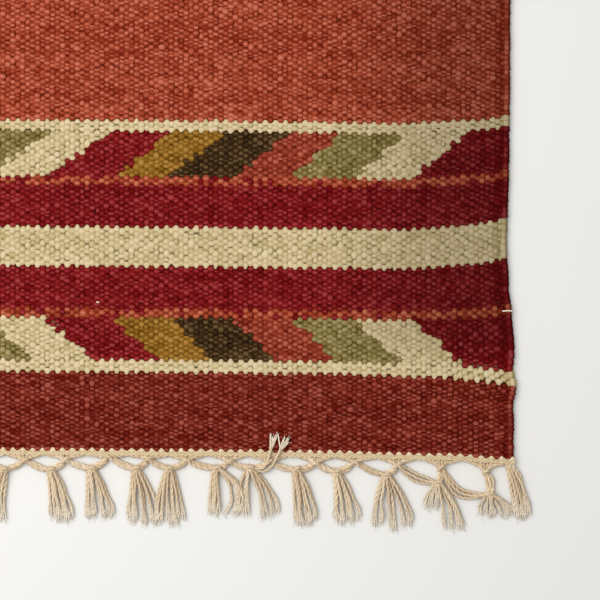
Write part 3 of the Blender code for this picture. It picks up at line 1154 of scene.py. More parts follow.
    def material(self) -> bpy.types.Material:
        """Builds the sheet's packed wool, matt, in full colour below and with painted shade on top between
        the bumps.

        Returns:
            The material.
        """
        made = bpy.data.materials.new("packed_weft_weave")
        made.use_nodes = True
        tree = made.node_tree
        colour = self.stripes(tree)
        place = add_node(tree, "ShaderNodeTexCoord").outputs["Object"]
        height = add_node(tree, "ShaderNodeSeparateXYZ", {0: place}).outputs["Z"]
        # Painted shade: the sheet's top is darkened for the hollows between the bumps
        depth = add_node(tree, "ShaderNodeMapRange", {
            "Value": height, "From Min": self.painted_shade_foot, "From Max": self.painted_shade_head,
            "To Min": 1.0, "To Max": self.painted_shade_tone,
        })
        dark = add_node(tree, "ShaderNodeMix", {
            MIX_FACTOR: 1.0, MIX_A: colour, MIX_B: depth.outputs[0],
        }, data_type="RGBA", blend_type="MULTIPLY")
        across = add_node(tree, "ShaderNodeMapping", {
            "Vector": place, "Scale": (math.pi / self.loom.warp_pitch, math.pi / self.pick_pitch, 1.0),
        })
        waves = add_node(tree, "ShaderNodeVectorMath", {0: across.outputs[0]}, operation="SINE")
        parts = add_node(tree, "ShaderNodeSeparateXYZ", {0: waves.outputs[0]})
        bump = add_node(tree, "ShaderNodeMath", {0: parts.outputs["X"], 1: parts.outputs["Y"]},
                        operation="MULTIPLY")
        self.surface.set_up(tree, dark.outputs[MIX_RESULT], bump.outputs[0])
        return made

    def build(self) -> bpy.types.Object:
        """Builds the sheet.

        Returns:
            The piece that stands for the web's solid.
        """
        loom = self.loom
        half = loom.width / 2 - loom.cord_width / 2
        across = np.linspace(-half, half, self.columns + 1)
        along = np.linspace(self.heading, loom.length - self.heading, self.rows + 1)
        even_x, even_y = np.meshgrid(across, along)
        x, y = loom.place(even_x.ravel(), even_y.ravel())
        weave = np.column_stack([0.5 - even_x.ravel() / loom.width, even_y.ravel() / loom.length])
        sheet = bmesh.new()
        layers = []
        for level in (0.0, self.top):
            layers.append([sheet.verts.new(co) for co in zip(x.tolist(), y.tolist(), [level] * len(x))])
        wide = self.columns + 1
        corners = [(r * wide + c, r * wide + c + 1, (r + 1) * wide + c + 1, (r + 1) * wide + c)
                   for r in range(self.rows) for c in range(self.columns)]
        for quad in corners:
            sheet.faces.new([layers[0][i] for i in reversed(quad)])
            sheet.faces.new([layers[1][i] for i in quad])
        last = self.rows * wide
        rim = [*range(0, wide), *range(2 * wide - 1, last + wide, wide),
               *range(last + wide - 2, last - 1, -1), *range(last - wide, 0, -wide)]
        for a, b in zip(rim, rim[1:] + rim[:1]):
            sheet.faces.new((layers[0][a], layers[0][b], layers[1][b], layers[1][a]))
        bmesh.ops.recalc_face_normals(sheet, faces=sheet.faces)
        sheet.verts.index_update()
        uv = sheet.loops.layers.uv.new("weave")
        for face in sheet.faces:
            for loop in face.loops:
                loop[uv].uv = weave[loop.vert.index % len(weave)]
        mesh = form_mesh("web_base", sheet)
        mesh.materials.append(self.material())
        return dress(new_object("web_base", mesh), "wool_weft", "rug_web")


@dataclass
class Selvedges:
    """The two edge cords, where the weft turns round the outer warps."""

    loom: Loom
    sides: int = 10
    flank: float = 0.90
    height: float = 0.00373
    bulge: float = 0.6
    fill: float = 1.15
    slant: float = math.radians(6)
    slant_spread: float = math.radians(2.5)
    place_spread: float = 0.00012
    swell_spread: float = 0.03
    reach_spread: float = 0.04
    tone: float = 0.40
    tone_spread: float = 0.2
    random: np.random.Generator = field(default_factory=lambda: np.random.default_rng(SEED + 1))

    def shape(self) -> bpy.types.Object:
        """Builds one turn of weft round the cord: a disc with a rounded rim, resting on z 0.

        Returns:
            A loose object with the form, two units wide and one high.
        """
        disc = bmesh.new()
        rings = []
        half_bulge = self.bulge / 2
        for y, size in ((-1.0, self.flank), (-half_bulge, 1.0), (half_bulge, 1.0), (1.0, self.flank)):
            ring = []
            for i in range(self.sides):
                angle = math.tau * i / self.sides
                ring.append(disc.verts.new((size * math.cos(angle), y, (1 + size * math.sin(angle)) / 2)))
            rings.append(ring)
        close_rings(disc, rings)
        mesh = form_mesh("weft_turn", disc)
        mesh.shade_smooth()
        return bpy.data.objects.new("weft_turn", mesh)

    def rows(self, sign: int) -> tuple[np.ndarray, np.ndarray, dict[str, np.ndarray]]:
        """Works out the turns along one edge.

        Args:
            sign: 1 for the right edge, -1 for the left one.

        Returns:
            Their places, their yarns, and their named values.
        """
        loom = self.loom
        along = []
        spacing = []
        yarns = []
        for band in loom.bands():
            turns = max(1, round(band.picks / 2))
            pitch = (band.stop - band.start) / turns
            for step in range(turns):
                along.append(band.start + (step + 0.5) * pitch)
                spacing.append(pitch / 2)
                yarns.append(band.yarn)
        along = np.array(along)
        even_x = np.full(len(along), sign * loom.width / 2)
        x, y = loom.place(even_x, along)
        count = len(along)
        centre = x - sign * loom.cord_width / 2 + self.random.normal(0, self.place_spread, count)
        places = np.column_stack([centre, y, np.zeros(count)])
        values = {
            "tone": self.tone + self.random.normal(0, self.tone_spread, count),
            "yaw": sign * self.random.normal(self.slant, self.slant_spread, count),
            "spacing": np.array(spacing) * loom.stretch(even_x, along) * self.fill,
            "swell": self.random.normal(1, self.swell_spread, count),
            "reach": self.random.normal(1, self.reach_spread, count),
        }
        return places, np.array(yarns, dtype=object), values

    def build(self, tree: bpy.types.NodeTree,
              materials: dict[Yarn, bpy.types.Material]) -> list[bpy.types.Object]:
        """Builds both cords.

        Args:
            tree: the tree that sets a shape on every point.
            materials: the wool for each yarn.

        Returns:
            The pieces.
        """
        shape = self.shape()
        pieces = []
        for side, sign in (("right", 1), ("left", -1)):
            places, yarns, values = self.rows(sign)
            parts = []
            for yarn in dict.fromkeys(yarns):
                chosen = yarns == yarn
                name = f"selvedge_{side}_{yarn.value}"
                mesh = point_mesh(name, places[chosen], [], {k: v[chosen] for k, v in values.items()})
                parts.append(grow(name, mesh, tree, {
                    "Shape": shape, "Half length": self.loom.cord_width / 2, "Height": self.height,
                    "Material": materials[yarn],
                }))
            pieces.append(dress(join_pieces(f"selvedge_{side}", parts), "wool_weft"))
        bpy.data.objects.remove(shape)
        return pieces


def join_pieces(name: str, parts: list[bpy.types.Object]) -> bpy.types.Object:
    """Makes one mesh object of several, each part keeping its material.

    Args:
        name: the joined piece's name.
        parts: mesh objects at the origin.

    Returns:
        The joined piece.
    """
    if len(parts) > 1:
        with bpy.context.temp_override(active_object=parts[0], selected_editable_objects=parts):
            bpy.ops.object.join()
    parts[0].name = name
    parts[0].data.name = name
    return parts[0]


@dataclass(frozen=True)
class KnotRow:
    """One gather knot and the tassel on its inner side.

    Shifts are sideways from the even pitch and drops are from the heading's edge. The
    tips say how far the tassel spreads. A split parts its strands, at a share across it,
    by a gap, and bow pushes the strands past the split out sideways. The sag and the
    spread are those of the swag on the inner side, and column widens the one on the outer.
    """

    gather_shift: float
    gather_drop: float
    tassel_shift: float
    tassel_drop: float
    tip_left: float
    tip_right: float
    reach: float
    split: float = 0.5
    gap: float = 0.0
    bow: float = 0.0
    short_share: float = 1.0
    sag: float = 0.0014
    spread: float = 0.0013
    column: float = 1.0


KNOT_ROWS = (
    KnotRow(0.0010, 0.0008, 0.0034, 0.0086, -0.0052, 0.0148, 0.033),
    KnotRow(-0.0005, 0.0018, 0.0052, 0.0084, -0.0040, 0.0138, 0.035),
    KnotRow(-0.0024, 0.0029, -0.0010, 0.0082, -0.0088, 0.0096, 0.036),
    KnotRow(-0.0028, 0.0035, 0.0032, 0.0078, -0.0030, 0.0128, 0.031, 0.55, 0.0050, 0.0060),
    KnotRow(-0.0042, 0.0034, -0.0028, 0.0073, -0.0068, 0.0169, 0.033, 0.36, 0.0050),
    KnotRow(-0.0007, 0.0040, -0.0001, 0.0083, -0.0020, 0.0135, 0.036),
    KnotRow(-0.0027, 0.0029, -0.0012, 0.0094, 0.0000, 0.0140, 0.034),
    KnotRow(-0.0027, 0.0038, 0.0041, 0.0105, -0.0074, 0.0160, 0.036, 0.34, 0.0032),
    KnotRow(-0.0017, 0.0051, 0.0106, 0.0150, -0.0064, 0.0186, 0.031, 0.40, 0.0030,
            short_share=0.55, sag=0.0030, spread=0.0026),
    KnotRow(0.0003, 0.0054, 0.0177, 0.0204, -0.0050, 0.0165, 0.0150,
            sag=0.0092, spread=0.0025, column=1.7),
    KnotRow(-0.0010, 0.0036, -0.0046, 0.0095, -0.0140, -0.0010, 0.034),
)
# Which rows stand from the middle outwards, on the right and on the left of each end
NEAR_RIGHT = (0, 1, 2, 3, 4, 5, 6, 7, 8, 9)
NEAR_LEFT = (10, 6, 1, 0, 5, 2, 6, 4, 3, 0)
FAR_RIGHT = (5, 2, 0, 6, 1, 3, 4, 2, 6, 5)
FAR_LEFT = (1, 4, 5, 2, 3, 0, 6, 2, 5, 1)


@dataclass(frozen=True)
class Gather:
    """A knot that draws neighbouring warps together under the heading."""

    x: float
    y: float


@dataclass(frozen=True)
class Tassel:
    """A knot of the second row, and how its strands hang from it."""

    x: float
    y: float
    left: float
    right: float
    row: KnotRow
    mirrored: bool


@dataclass(frozen=True)
class LoosePoint:
    """A point on the course of a yarn end that lies loose on the web."""

    x: float
    y: float
    z: float


# From the knot of the tassel that they leave, over the heading, to the web
LOOSE_ENDS = (
    (
        LoosePoint(0.1262, -0.4578, 0.0030),
        LoosePoint(0.1330, -0.4580, 0.0030),
        LoosePoint(0.1366, -0.4520, 0.0046),
        LoosePoint(0.1392, -0.4430, 0.0050),
        LoosePoint(0.1411, -0.4352, 0.0048),
    ),
    (
        LoosePoint(0.1262, -0.4586, 0.0024),
        LoosePoint(0.1336, -0.4602, 0.0022),
        LoosePoint(0.1396, -0.4560, 0.0030),
        LoosePoint(0.1440, -0.4475, 0.0050),
        LoosePoint(0.1497, -0.4374, 0.0048),
    ),
)
# The short ends that stick out of the weave
STRAY_ENDS = (
    (
        LoosePoint(0.2944, -0.3523, 0.0037),
        LoosePoint(0.2976, -0.3519, 0.0042),
        LoosePoint(0.3010, -0.3521, 0.0038),
    ),
    (
        LoosePoint(0.0214, -0.3462, 0.0038),
        LoosePoint(0.0222, -0.3460, 0.0041),
        LoosePoint(0.0231, -0.3463, 0.0038),
    ),
    (
        LoosePoint(0.1453, -0.4462, 0.0044),
        LoosePoint(0.1446, -0.4420, 0.0048),
        LoosePoint(0.1439, -0.4378, 0.0046),
        LoosePoint(0.1434, -0.4348, 0.0040),
    ),
)


@dataclass
class YarnRuns:
    """Collects strands as runs of points for one piece."""

    places: list[np.ndarray] = field(default_factory=list)
    values: dict[str, list[np.ndarray]] = field(
        default_factory=lambda: {"thickness": [], "tone": [], "phase": []})

    def add(self, course: np.ndarray, thickness: np.ndarray | float, tone: np.ndarray | float,
            phase: float) -> None:
        """Adds one strand.

        Args:
            course: its points, evenly spaced.
            thickness: its half width, at each point or all along.
            tone: how light it is, 0 to 1, at each point or all along.
            phase: where its twist starts.
        """
        count = len(course)
        self.places.append(course)
        self.values["thickness"].append(np.broadcast_to(thickness, count))
        self.values["tone"].append(np.broadcast_to(tone, count))
        self.values["phase"].append(np.full(count, phase))

    def mesh(self, name: str, turned: bool) -> bpy.types.Mesh:
        """Makes a mesh with one chain of edges for each strand.

        Args:
            name: the mesh's name.
            turned: whether it is turned half round, to the far end.

        Returns:
            The mesh.
        """
        places = np.concatenate(self.places)
        if turned:
            places = places * (-1, -1, 1)
        starts = np.cumsum([0] + [len(course) for course in self.places])
        edges = [(i, i + 1) for low, high in zip(starts, starts[1:]) for i in range(low, high - 1)]
        values = {label: np.concatenate(parts) for label, parts in self.values.items()}
        return point_mesh(name, places, edges, values)


def even_course(points: list[tuple[float, float, float]], step: float) -> np.ndarray:
    """Draws a smooth course through points and spaces it evenly.

    Args:
        points: the points that it passes.
        step: about how far apart the new points are.

    Returns:
        One row of x, y, z for each new point.
    """
    fine = 12
    given = np.array(points, dtype=float)
    ends = np.vstack([2 * given[0] - given[1], given, 2 * given[-1] - given[-2]])
    share = np.linspace(0, 1, fine, endpoint=False)[:, None]
    pieces = []
    for p0, p1, p2, p3 in zip(ends, ends[1:], ends[2:], ends[3:]):
        pieces.append(0.5 * (2 * p1 + (p2 - p0) * share + (2 * p0 - 5 * p1 + 4 * p2 - p3) * share ** 2
                             + (3 * p1 - p0 - 3 * p2 + p3) * share ** 3))
    dense = np.vstack([*pieces, given[-1:]])
    walked = np.concatenate([[0], np.cumsum(np.linalg.norm(np.diff(dense, axis=0), axis=1))])
    count = max(3, round(walked[-1] / step) + 1)
    even = np.linspace(0, walked[-1], count)
    return np.column_stack([np.interp(even, walked, dense[:, axis]) for axis in range(3)])


@dataclass(frozen=True)
class SwagStep:
    """How the strands of a swag lie at a share of its way: how much they fan out and sag there."""

    share: float
    fan: float
    sag: float


SWAG_STEPS = (SwagStep(0.24, 0.75, 0.60), SwagStep(0.50, 1.0, 1.0), SwagStep(0.76, 0.80, 0.70))


@dataclass(frozen=True)
class Winding:
    """A strand wound round a knot: half its width and height, its turns, and how far they travel."""

    width: float
    height: float
    turns: float
    travel: float
    size: float


TASSEL_WINDING = Winding(0.0024, 0.0016, 1.6, 0.0028, 0.95)
GATHER_WINDING = Winding(0.0020, 0.0015, 1.5, 0.0016, 0.90)


@dataclass(frozen=True)
class HeadingPicks:
    """Cotton picks of the heading: their places from its edge, and the size of their bumps."""

    toothed: bool
    lines: tuple[float, ...]
    spacing: float
    swell: float
    reach: float


HEADING_PICKS = (
    HeadingPicks(False, (0.0006, 0.0015, 0.0024, 0.0033), 0.0007, 0.62, 0.64),
    HeadingPicks(True, (0.0041,), 0.0012, 0.90, 0.80),
)


@dataclass
class Fringe:
    """One end's cotton: the heading, the gathered and swagged warps, and the tassels.

    It is laid out at the near end, and the far one is turned half round. Strands of a
    swag fan out at the heading, and cross in the gather knot over those from the other
    side. Fillers hang from a tassel's own knot. The tip of a strand opens into plies, and
    that of a loose end on the web into a brush.
    """

    name: str
    loom: Loom
    far: bool
    right_order: tuple[int, ...]
    left_order: tuple[int, ...]
    seed: int
    pitch: float = 0.0283
    middle_drop: float = 0.0030
    half_width: float = 0.00114
    step: float = 0.00130
    twist_pitch: float = 0.0085
    lobe: float = 0.12
    strands_a_swag: int = 3
    fan_start: float = 0.0046
    fan_step: float = 0.0030
    fan_spread: float = 0.0005
    crossing_lift: float = 0.85
    outer_spread: float = 0.0013
    outer_sag: float = 0.0014
    sag_spread: float = 0.0002
    neck_width: float = 0.0050
    neck_drop: float = 0.0006
    lock_shares: tuple[float, ...] = (0.0, 0.13, 0.30, 0.52, 0.76, 1.0)
    lock_wave: float = 0.0006
    belly: float = 1.18
    fillers: int = 2
    short_warps: tuple[float, ...] = (-0.0024, -0.0008, 0.0010, 0.0026)
    corner_strands: int = 7
    corner_reach: float = 0.035
    corner_inset: float = 0.0056
    corner_neck: float = 0.0054
    corner_spread: float = 0.0125
    corner_shares: tuple[float, ...] = (0.2, 0.45, 0.72, 1.0)
    tone: float = 0.55
    tone_spread: float = 0.17
    worn_tone: float = 0.35
    worn_reach: float = 0.012
    fibre: float = 0.00015
    fibres_a_tip: int = 5
    fibre_reach: float = 0.0030
    fibre_spread: float = 0.25
    tip_plies: int = 4
    tip_reach: float = 0.0135
    tip_fan: float = 0.0026
    brush_plies: int = 11
    brush_reach: float = 0.0105
    brush_fan: float = 0.0050
    brush_size: float = 0.88
    brush_tone: float = 0.75
    strip_inset: float = 0.001
    strip_rim: float = 0.0002
    strip_width: float = 0.0036
    strip_top: float = 0.0027
    strip_sections: int = 61

    def __post_init__(self) -> None:
        """Starts this end's own random draws."""
        self.random = np.random.default_rng(self.seed)

    @property
    def rest_height(self) -> float:
        """Height of a strand's middle where it lies on the floor."""
        return self.half_width * 1.15

    def opened(self, along: float) -> float:
        """How far a tassel has opened at a share of its length: fast at first, then slowly."""
        return 1 - (1 - along) ** 1.8

    def end(self, x: float) -> float:
        """Finds the heading's outer edge.

        Args:
            x: a place across the rug, in the near end's layout.

        Returns:
            Y of the edge there.
        """
        half = self.loom.length / 2
        if self.far:
            return -half - float(drift_at(FAR_END_BY_X, -x))
        return -half - float(drift_at(NEAR_END_BY_X, x))

    def corner(self, sign: int) -> float:
        """Finds the heading's corner, in the near end's layout.

        Args:
            sign: 1 for the right side, -1 for the left.

        Returns:
            X of the corner.
        """
        side = -sign if self.far else sign
        table = RIGHT_EDGE_FROM_NEAR_END if side > 0 else LEFT_EDGE_FROM_NEAR_END
        place = self.loom.length if self.far else 0.0
        return sign * (self.loom.width / 2 + float(drift_at(table, place)))

    def knots(self) -> tuple[list[Gather], list[Tassel]]:
        """Places the knots of both rows, from left to right.

        Returns:
            The gather knots and the tassels' knots.
        """
        sides = {}
        for sign, order in ((1, self.right_order), (-1, self.left_order)):
            gathers = []
            tassels = []
            for place, number in enumerate(order, start=1):
                row = KNOT_ROWS[number]
                x = sign * (place * self.pitch + row.gather_shift)
                gathers.append(Gather(x, self.end(x) - row.gather_drop))
                x = sign * ((place - 0.5) * self.pitch + row.tassel_shift)
                tips = sorted((sign * row.tip_left, sign * row.tip_right))
                tassels.append(Tassel(x, self.end(x) - row.tassel_drop, *tips, row, sign < 0))
            sides[sign] = (gathers, tassels)
        middle = Gather(0.0, self.end(0.0) - self.middle_drop)
        return ([*reversed(sides[-1][0]), middle, *sides[1][0]],
                [*reversed(sides[-1][1]), *sides[1][1]])

    def swag_points(self, gather: Gather, tassel: Tassel, sign: int, number: int, over: bool,
                    crossed: bool = True) -> list[tuple]:
        """Points of one warp from the heading, through a gather knot, to a tassel's knot.

        Args:
            gather: the knot that it passes.
            tassel: the tassel that it joins.
            sign: 1 for the swag on the tassel's left, -1 for the one on its right.
            number: which strand of the swag it is, from the top.
            over: whether it crosses over the strands that go the other way.
            crossed: whether it comes from the far side of the gather knot.

        Returns:
            The points.
        """
        inner = (sign > 0) != tassel.mirrored
        spread = tassel.row.spread if inner else self.outer_spread * tassel.row.column
        sag = tassel.row.sag if inner else self.outer_sag
        thick = 2 * self.half_width
        low = self.rest_height
        layer = number % 2
        crossing = low + thick * (0.4 * layer + (self.crossing_lift if over else 0.0))
        come = sign if crossed else -sign
        fan = self.fan_start + self.fan_step * number + self.random.normal(0, self.fan_spread)
        start_x = gather.x - come * fan
        across = number - (self.strands_a_swag - 1) / 2
        bend_x = gather.x - come * 0.0036
        bend_y = (self.end(bend_x) + gather.y) / 2 + 0.0003 - 0.0006 * across
        run = Vector((tassel.x - gather.x, tassel.y - gather.y))
        up = Vector((-run.y, run.x)).normalized() * sign
        points = [
            (start_x - come * 0.0022, self.end(start_x) + 0.0016, 0.0024),
            (start_x, self.end(start_x) - 0.0001, 0.0017),
            (bend_x, bend_y, low + thick * 0.3 * layer),
            (gather.x - come * 0.0011, gather.y + 0.0004 - 0.0004 * across, crossing),
            (gather.x + sign * 0.0011, gather.y - 0.0005 - 0.0006 * across, crossing),
        ]
        for step in SWAG_STEPS:
            stray = self.random.normal(0, self.sag_spread)
            out = up * (-across * spread * step.fan - sag * step.sag + stray)
            points.append((gather.x + run.x * step.share + out.x, gather.y + run.y * step.share + out.y,
                           low + thick * 0.25 * layer))
        return points

    def lock_points(self, tassel: Tassel, share: float, layer: int) -> list[tuple]:
        """Points of one strand from its tassel's knot to its tip.

        Args:
            tassel: the tassel.
            share: the strand's place across it, from 0 at the left to 1.
            layer: 0 for the lower strands, 1 for those that lie on them.

        Returns:
            The points.
        """
        row = tassel.row
        spread = tassel.right - tassel.left
        split = 1 - row.split if tassel.mirrored else row.split
        past = share > split
        strayed = 0.5 + (share - 0.5) * self.belly + self.random.normal(0, 0.06)
        tip = tassel.left + spread * strayed + (row.gap if past else -row.gap) / 2
        outer = (not past) if tassel.mirrored else past
        bow = row.bow * (-1 if tassel.mirrored else 1) * (1 if outer else 0)
        reach = row.reach * (1 - 0.06 * (2 * share - 1) ** 2) * self.random.normal(1.0, 0.03)
        if not outer:
            reach *= row.short_share
        root = (share - 0.5) * self.neck_width
        low = self.rest_height
        wave = self.random.normal(0, self.lock_wave, len(self.lock_shares))
        points = []
        for number, along in enumerate(self.lock_shares):
            x = tassel.x + root + (tip - root) * self.opened(along) + bow * math.sin(math.pi * along)
            lift = 1.5 * self.half_width * layer * (1 - along) ** 0.6
            lift += (1 - along) ** 3 * 0.0006
            points.append((x + wave[number] * along, tassel.y - self.neck_drop - reach * along, low + lift))
        return points

    def wind(self, runs: YarnRuns, knot: Gather | Tassel, winding: Winding, lean: float) -> None:
        """Winds a strand round a knot.

        Args:
            runs: what takes it.
            knot: the knot that it is wound round.
            winding: its sizes and turns.
            lean: how far it leans out of square, as a slope.
        """
        steps = round(winding.turns * 10)
        base = winding.height + self.half_width * 1.2
        points = []
        for i in range(steps + 1):
            angle = math.tau * (winding.turns * i / steps) - 0.8 * math.pi
            side = winding.width * math.cos(angle)
            forward = winding.travel * (0.5 - i / steps) + lean * side
            points.append((knot.x + side, knot.y + forward, base + winding.height * math.sin(angle)))
        runs.add(even_course(points, self.step * 0.7), self.half_width * winding.size, 0.6, 0.0)

    def fray(self, runs: YarnRuns, tip: np.ndarray, heading: np.ndarray) -> None:
        """Adds a loose fibre at a strand's end.

        Args:
            runs: what takes it.
            tip: where the strand ends.
            heading: the way that it points there.
        """
        angle = math.atan2(heading[1], heading[0]) + self.random.normal(0, self.fibre_spread)
        length = self.fibre_reach * self.random.uniform(0.6, 1.25)
        curl = self.random.normal(0, self.fibre_spread)
        place = tip + self.random.normal(0, self.half_width * 0.35, 3) * (1, 1, 0.5)
        place[2] = max(place[2], self.fibre * 2)
        floor = max(tip[2] - self.half_width, 0) + self.fibre * 2
        points = [tuple(place)]
        for share in (0.5, 1.0):
            turn = angle + curl * share
            points.append((
                place[0] + length * share * math.cos(turn),
                place[1] + length * share * math.sin(turn),
                place[2] + (floor - place[2]) * share * self.random.uniform(0.3, 1.0),
            ))
        runs.add(np.array(points), self.fibre, 1.0 + self.random.normal(0, 0.15), 0.0)

    def open_tip(self, fibres: YarnRuns, tail: np.ndarray, plies: int, fan: float) -> None:
        """Opens a strand's end into loose plies and single fibres.

        Args:
            fibres: what takes them.
            tail: the strand's last points.
            plies: how many parts it opens into.
            fan: how far apart they lie at the tip.
        """
        share = np.linspace(0, 1, len(tail))
        ahead = tail[-1, :2] - tail[0, :2]
        side = np.array([-ahead[1], ahead[0]]) / np.linalg.norm(ahead)
        for ply in range(plies):
            place = (ply + 0.5) / plies - 0.5
            stray = self.random.normal(0, fan * 0.12)
            out = place * (1.1 * self.half_width + fan * share) + stray * share ** 2
            points = tail.copy()
            points[:, :2] += side * out[:, None]
            points[:, 2] += self.random.uniform(0, 0.5 * self.half_width) * (1 - share)
            kept = len(tail) - int(self.random.integers(0, 3))
            thickness = self.half_width * (0.62 - 0.20 * share) * self.random.normal(1.0, 0.1)
            fibres.add(points[:kept], thickness[:kept], (0.35 + 0.75 * share)[:kept], 0.0)
            if ply < self.fibres_a_tip:
                self.fray(fibres, points[kept - 1], points[kept - 1] - points[kept - 3])

    def lay(self, runs: YarnRuns, fibres: YarnRuns, points: list[tuple]) -> None:
        """Lays one strand with its open tip, lighter where the tassel is worn.

        Args:
            runs: what takes the strand.
            fibres: what takes its tip.
            points: the points that it passes.
        """
        course = even_course(points, self.step)
        size = self.half_width * self.random.normal(1.0, 0.05)
        course[:, 2] = np.maximum(course[:, 2], size * (1 + self.lobe) * 1.03)
        count = len(course)
        tail = round(self.tip_reach * self.random.uniform(0.75, 1.25) / self.step)
        body = count - tail + 2
        walked = np.arange(body)[::-1] * self.step
        thickness = size * (0.80 + 0.20 * smooth(walked / 0.005))
        worn = self.worn_tone * np.exp(-walked / self.worn_reach)
        runs.add(course[:body], thickness, self.tone + worn + self.random.normal(0, self.tone_spread),
                 self.random.uniform(0, math.tau))
        self.open_tip(fibres, course[-tail:], self.tip_plies, self.tip_fan)

    def tuck(self, runs: YarnRuns, points: list[tuple]) -> None:
        """Lays one strand whose end is hidden in a knot.

        Args:
            runs: what takes the strand.
            points: the points that it passes.
        """
        course = even_course(points, self.step)
        size = self.half_width * 0.95
        course[:, 2] = np.maximum(course[:, 2], size * (1 + self.lobe) * 1.05)
        runs.add(course, size, 0.5 + self.random.normal(0, self.tone_spread),
                 self.random.uniform(0, math.tau))

    def tassels(self, runs: YarnRuns, fibres: YarnRuns) -> None:
        """Lays every warp from the heading to its tip, and winds the knots.

        Args:
            runs: what takes the strands.
            fibres: what takes their tips.
        """
        gathers, tassels = self.knots()
        strands = 2 * self.strands_a_swag + self.fillers
        for number, tassel in enumerate(tassels):
            for side, gather in enumerate((gathers[number], gathers[number + 1])):
                for strand in range(self.strands_a_swag):
                    swag = self.swag_points(gather, tassel, 1 - 2 * side, strand, (side + number) % 2 == 0)
                    share = (2 * strand + side + 1.5) / strands
                    lock = self.lock_points(tassel, share, (strand + side) % 2)
                    self.lay(runs, fibres, swag + lock)
            for filler in range(self.fillers):
                share = (filler * (strands - 1) + 0.5) / strands
                self.lay(runs, fibres, self.lock_points(tassel, share, 0))
            self.wind(runs, tassel, TASSEL_WINDING, self.random.normal(0, 0.15))
        for number, sign in ((0, 1), (-1, -1)):
            for strand in range(self.strands_a_swag):
                knot = tassels[number]
                back = self.swag_points(gathers[number], knot, sign, strand, True, crossed=False)
                self.tuck(runs, [*back, (knot.x, knot.y, self.half_width * 1.5)])
        for gather in gathers:
            top = self.end(gather.x)
            for shift in self.short_warps:
                self.tuck(runs, [
                    (gather.x + shift * 1.5, top + 0.0016, 0.0022),
                    (gather.x + shift * 1.2, top - 0.0004, 0.0019),
                    (gather.x + shift * 0.5, gather.y - 0.0004, 0.0016),
                ])
            lean = self.random.choice((-1, 1)) * self.random.uniform(0.4, 0.9)
            self.wind(runs, gather, GATHER_WINDING, lean)
        for sign in (-1, 1):
            self.corner_tassel(runs, fibres, sign)

    def corner_tassel(self, runs: YarnRuns, fibres: YarnRuns, sign: int) -> None:
        """Lays the short tassel that hangs straight from one corner of the heading.

        Args:
            runs: what takes the strands.
            fibres: what takes their tips.
            sign: 1 for the right corner, -1 for the left.
        """
        edge = self.corner(sign)
        top = self.end(edge)
        low = self.rest_height
        for number in range(self.corner_strands):
            share = (number + 0.5) / self.corner_strands
            root = edge - sign * (self.corner_inset - self.corner_neck * share)
            tip = edge + sign * (-0.0010 + self.corner_spread * share)
            reach = self.corner_reach * self.random.normal(1.0, 0.04)
            lift = 1.2 * self.half_width * (number % 2)
            points = [(root, top + 0.0016, 0.0026), (root, top - 0.0010, 0.0020)]
            for along in self.corner_shares:
                x = root + (tip - root) * self.opened(along) + self.random.normal(0, 0.0004)
                points.append((x, top - reach * along, low + lift * (1 - along)))
            self.lay(runs, fibres, points)

    def heading(self, tree: bpy.types.NodeTree, material: bpy.types.Material) -> bpy.types.Object:
        """Builds the heading: a strip of tight cotton picks, with its bumps set into the first of the wool.

        Args:
            tree: the tree that sets a shape on every point.
            material: the heading's cotton.

        Returns:
            The piece.
        """
        loom = self.loom
        bumps = WeftBumps(loom)
        parts = []
        for picks in HEADING_PICKS:
            toothed = picks.toothed
            places = []
            values: dict[str, list] = {"tone": [], "yaw": [], "spacing": [], "swell": [], "reach": []}
            for row, along in enumerate(picks.lines):
                first = (0 if self.far else 1) if toothed else (row % 2) / 2
                columns = np.arange(first, loom.warps, 2 if toothed else 1)
                even_x = -loom.width / 2 + (columns + 0.5) * loom.warp_pitch
                count = len(columns)
                x, y = loom.place(even_x, np.full(count, loom.length - along if self.far else along))
                foot = bumps.foot + bumps.tooth_rise * toothed
                places.append(np.column_stack([x, y, np.full(count, foot)]))
                turn = math.pi if toothed and self.far else 0.0
                values["tone"].append(0.5 + self.random.normal(0, 0.3, count))
                values["yaw"].append(self.random.normal(turn, 0.12, count))
                values["spacing"].append(picks.spacing * self.random.normal(1, 0.08, count))
                values["swell"].append(self.random.normal(picks.swell, 0.06, count))
                values["reach"].append(self.random.normal(picks.reach, 0.06, count))
            name = f"heading_{self.name}_{toothed}"
            mesh = point_mesh(name, np.concatenate(places), [],
                              {label: np.concatenate(rows) for label, rows in values.items()})
            shape = bumps.tooth() if toothed else bumps.shape()
            parts.append(grow(name, mesh, tree, {
                "Shape": shape, "Half length": bumps.half_length, "Height": bumps.height,
                "Material": material,
            }))
            bpy.data.objects.remove(shape)
        parts.append(self.strip(material))
        return dress(join_pieces(f"heading_{self.name}", parts), "cotton_warp")

    def strip(self, material: bpy.types.Material) -> bpy.types.Object:
        """Builds the closed strip under the heading's bumps.

        Args:
            material: the heading's cotton.

        Returns:
            The strip.
        """
        loom = self.loom
        half = loom.width / 2 - self.strip_inset
        rim = self.strip_rim
        top = self.strip_top
        outline = ((rim, rim), (self.strip_width, rim), (self.strip_width, top), (rim, top))
        rings = []
        block = bmesh.new()
        for x in np.linspace(-half, half, self.strip_sections):
            ring = []
            for along, z in outline:
                place, y = loom.place(np.array([x]), np.array([loom.length - along if self.far else along]))
                ring.append(block.verts.new((float(place[0]), float(y[0]), z)))
            rings.append(ring)
        close_rings(block, rings)
        mesh = form_mesh(f"heading_strip_{self.name}", block)
        mesh.materials.append(material)
        return new_object(mesh.name, mesh)

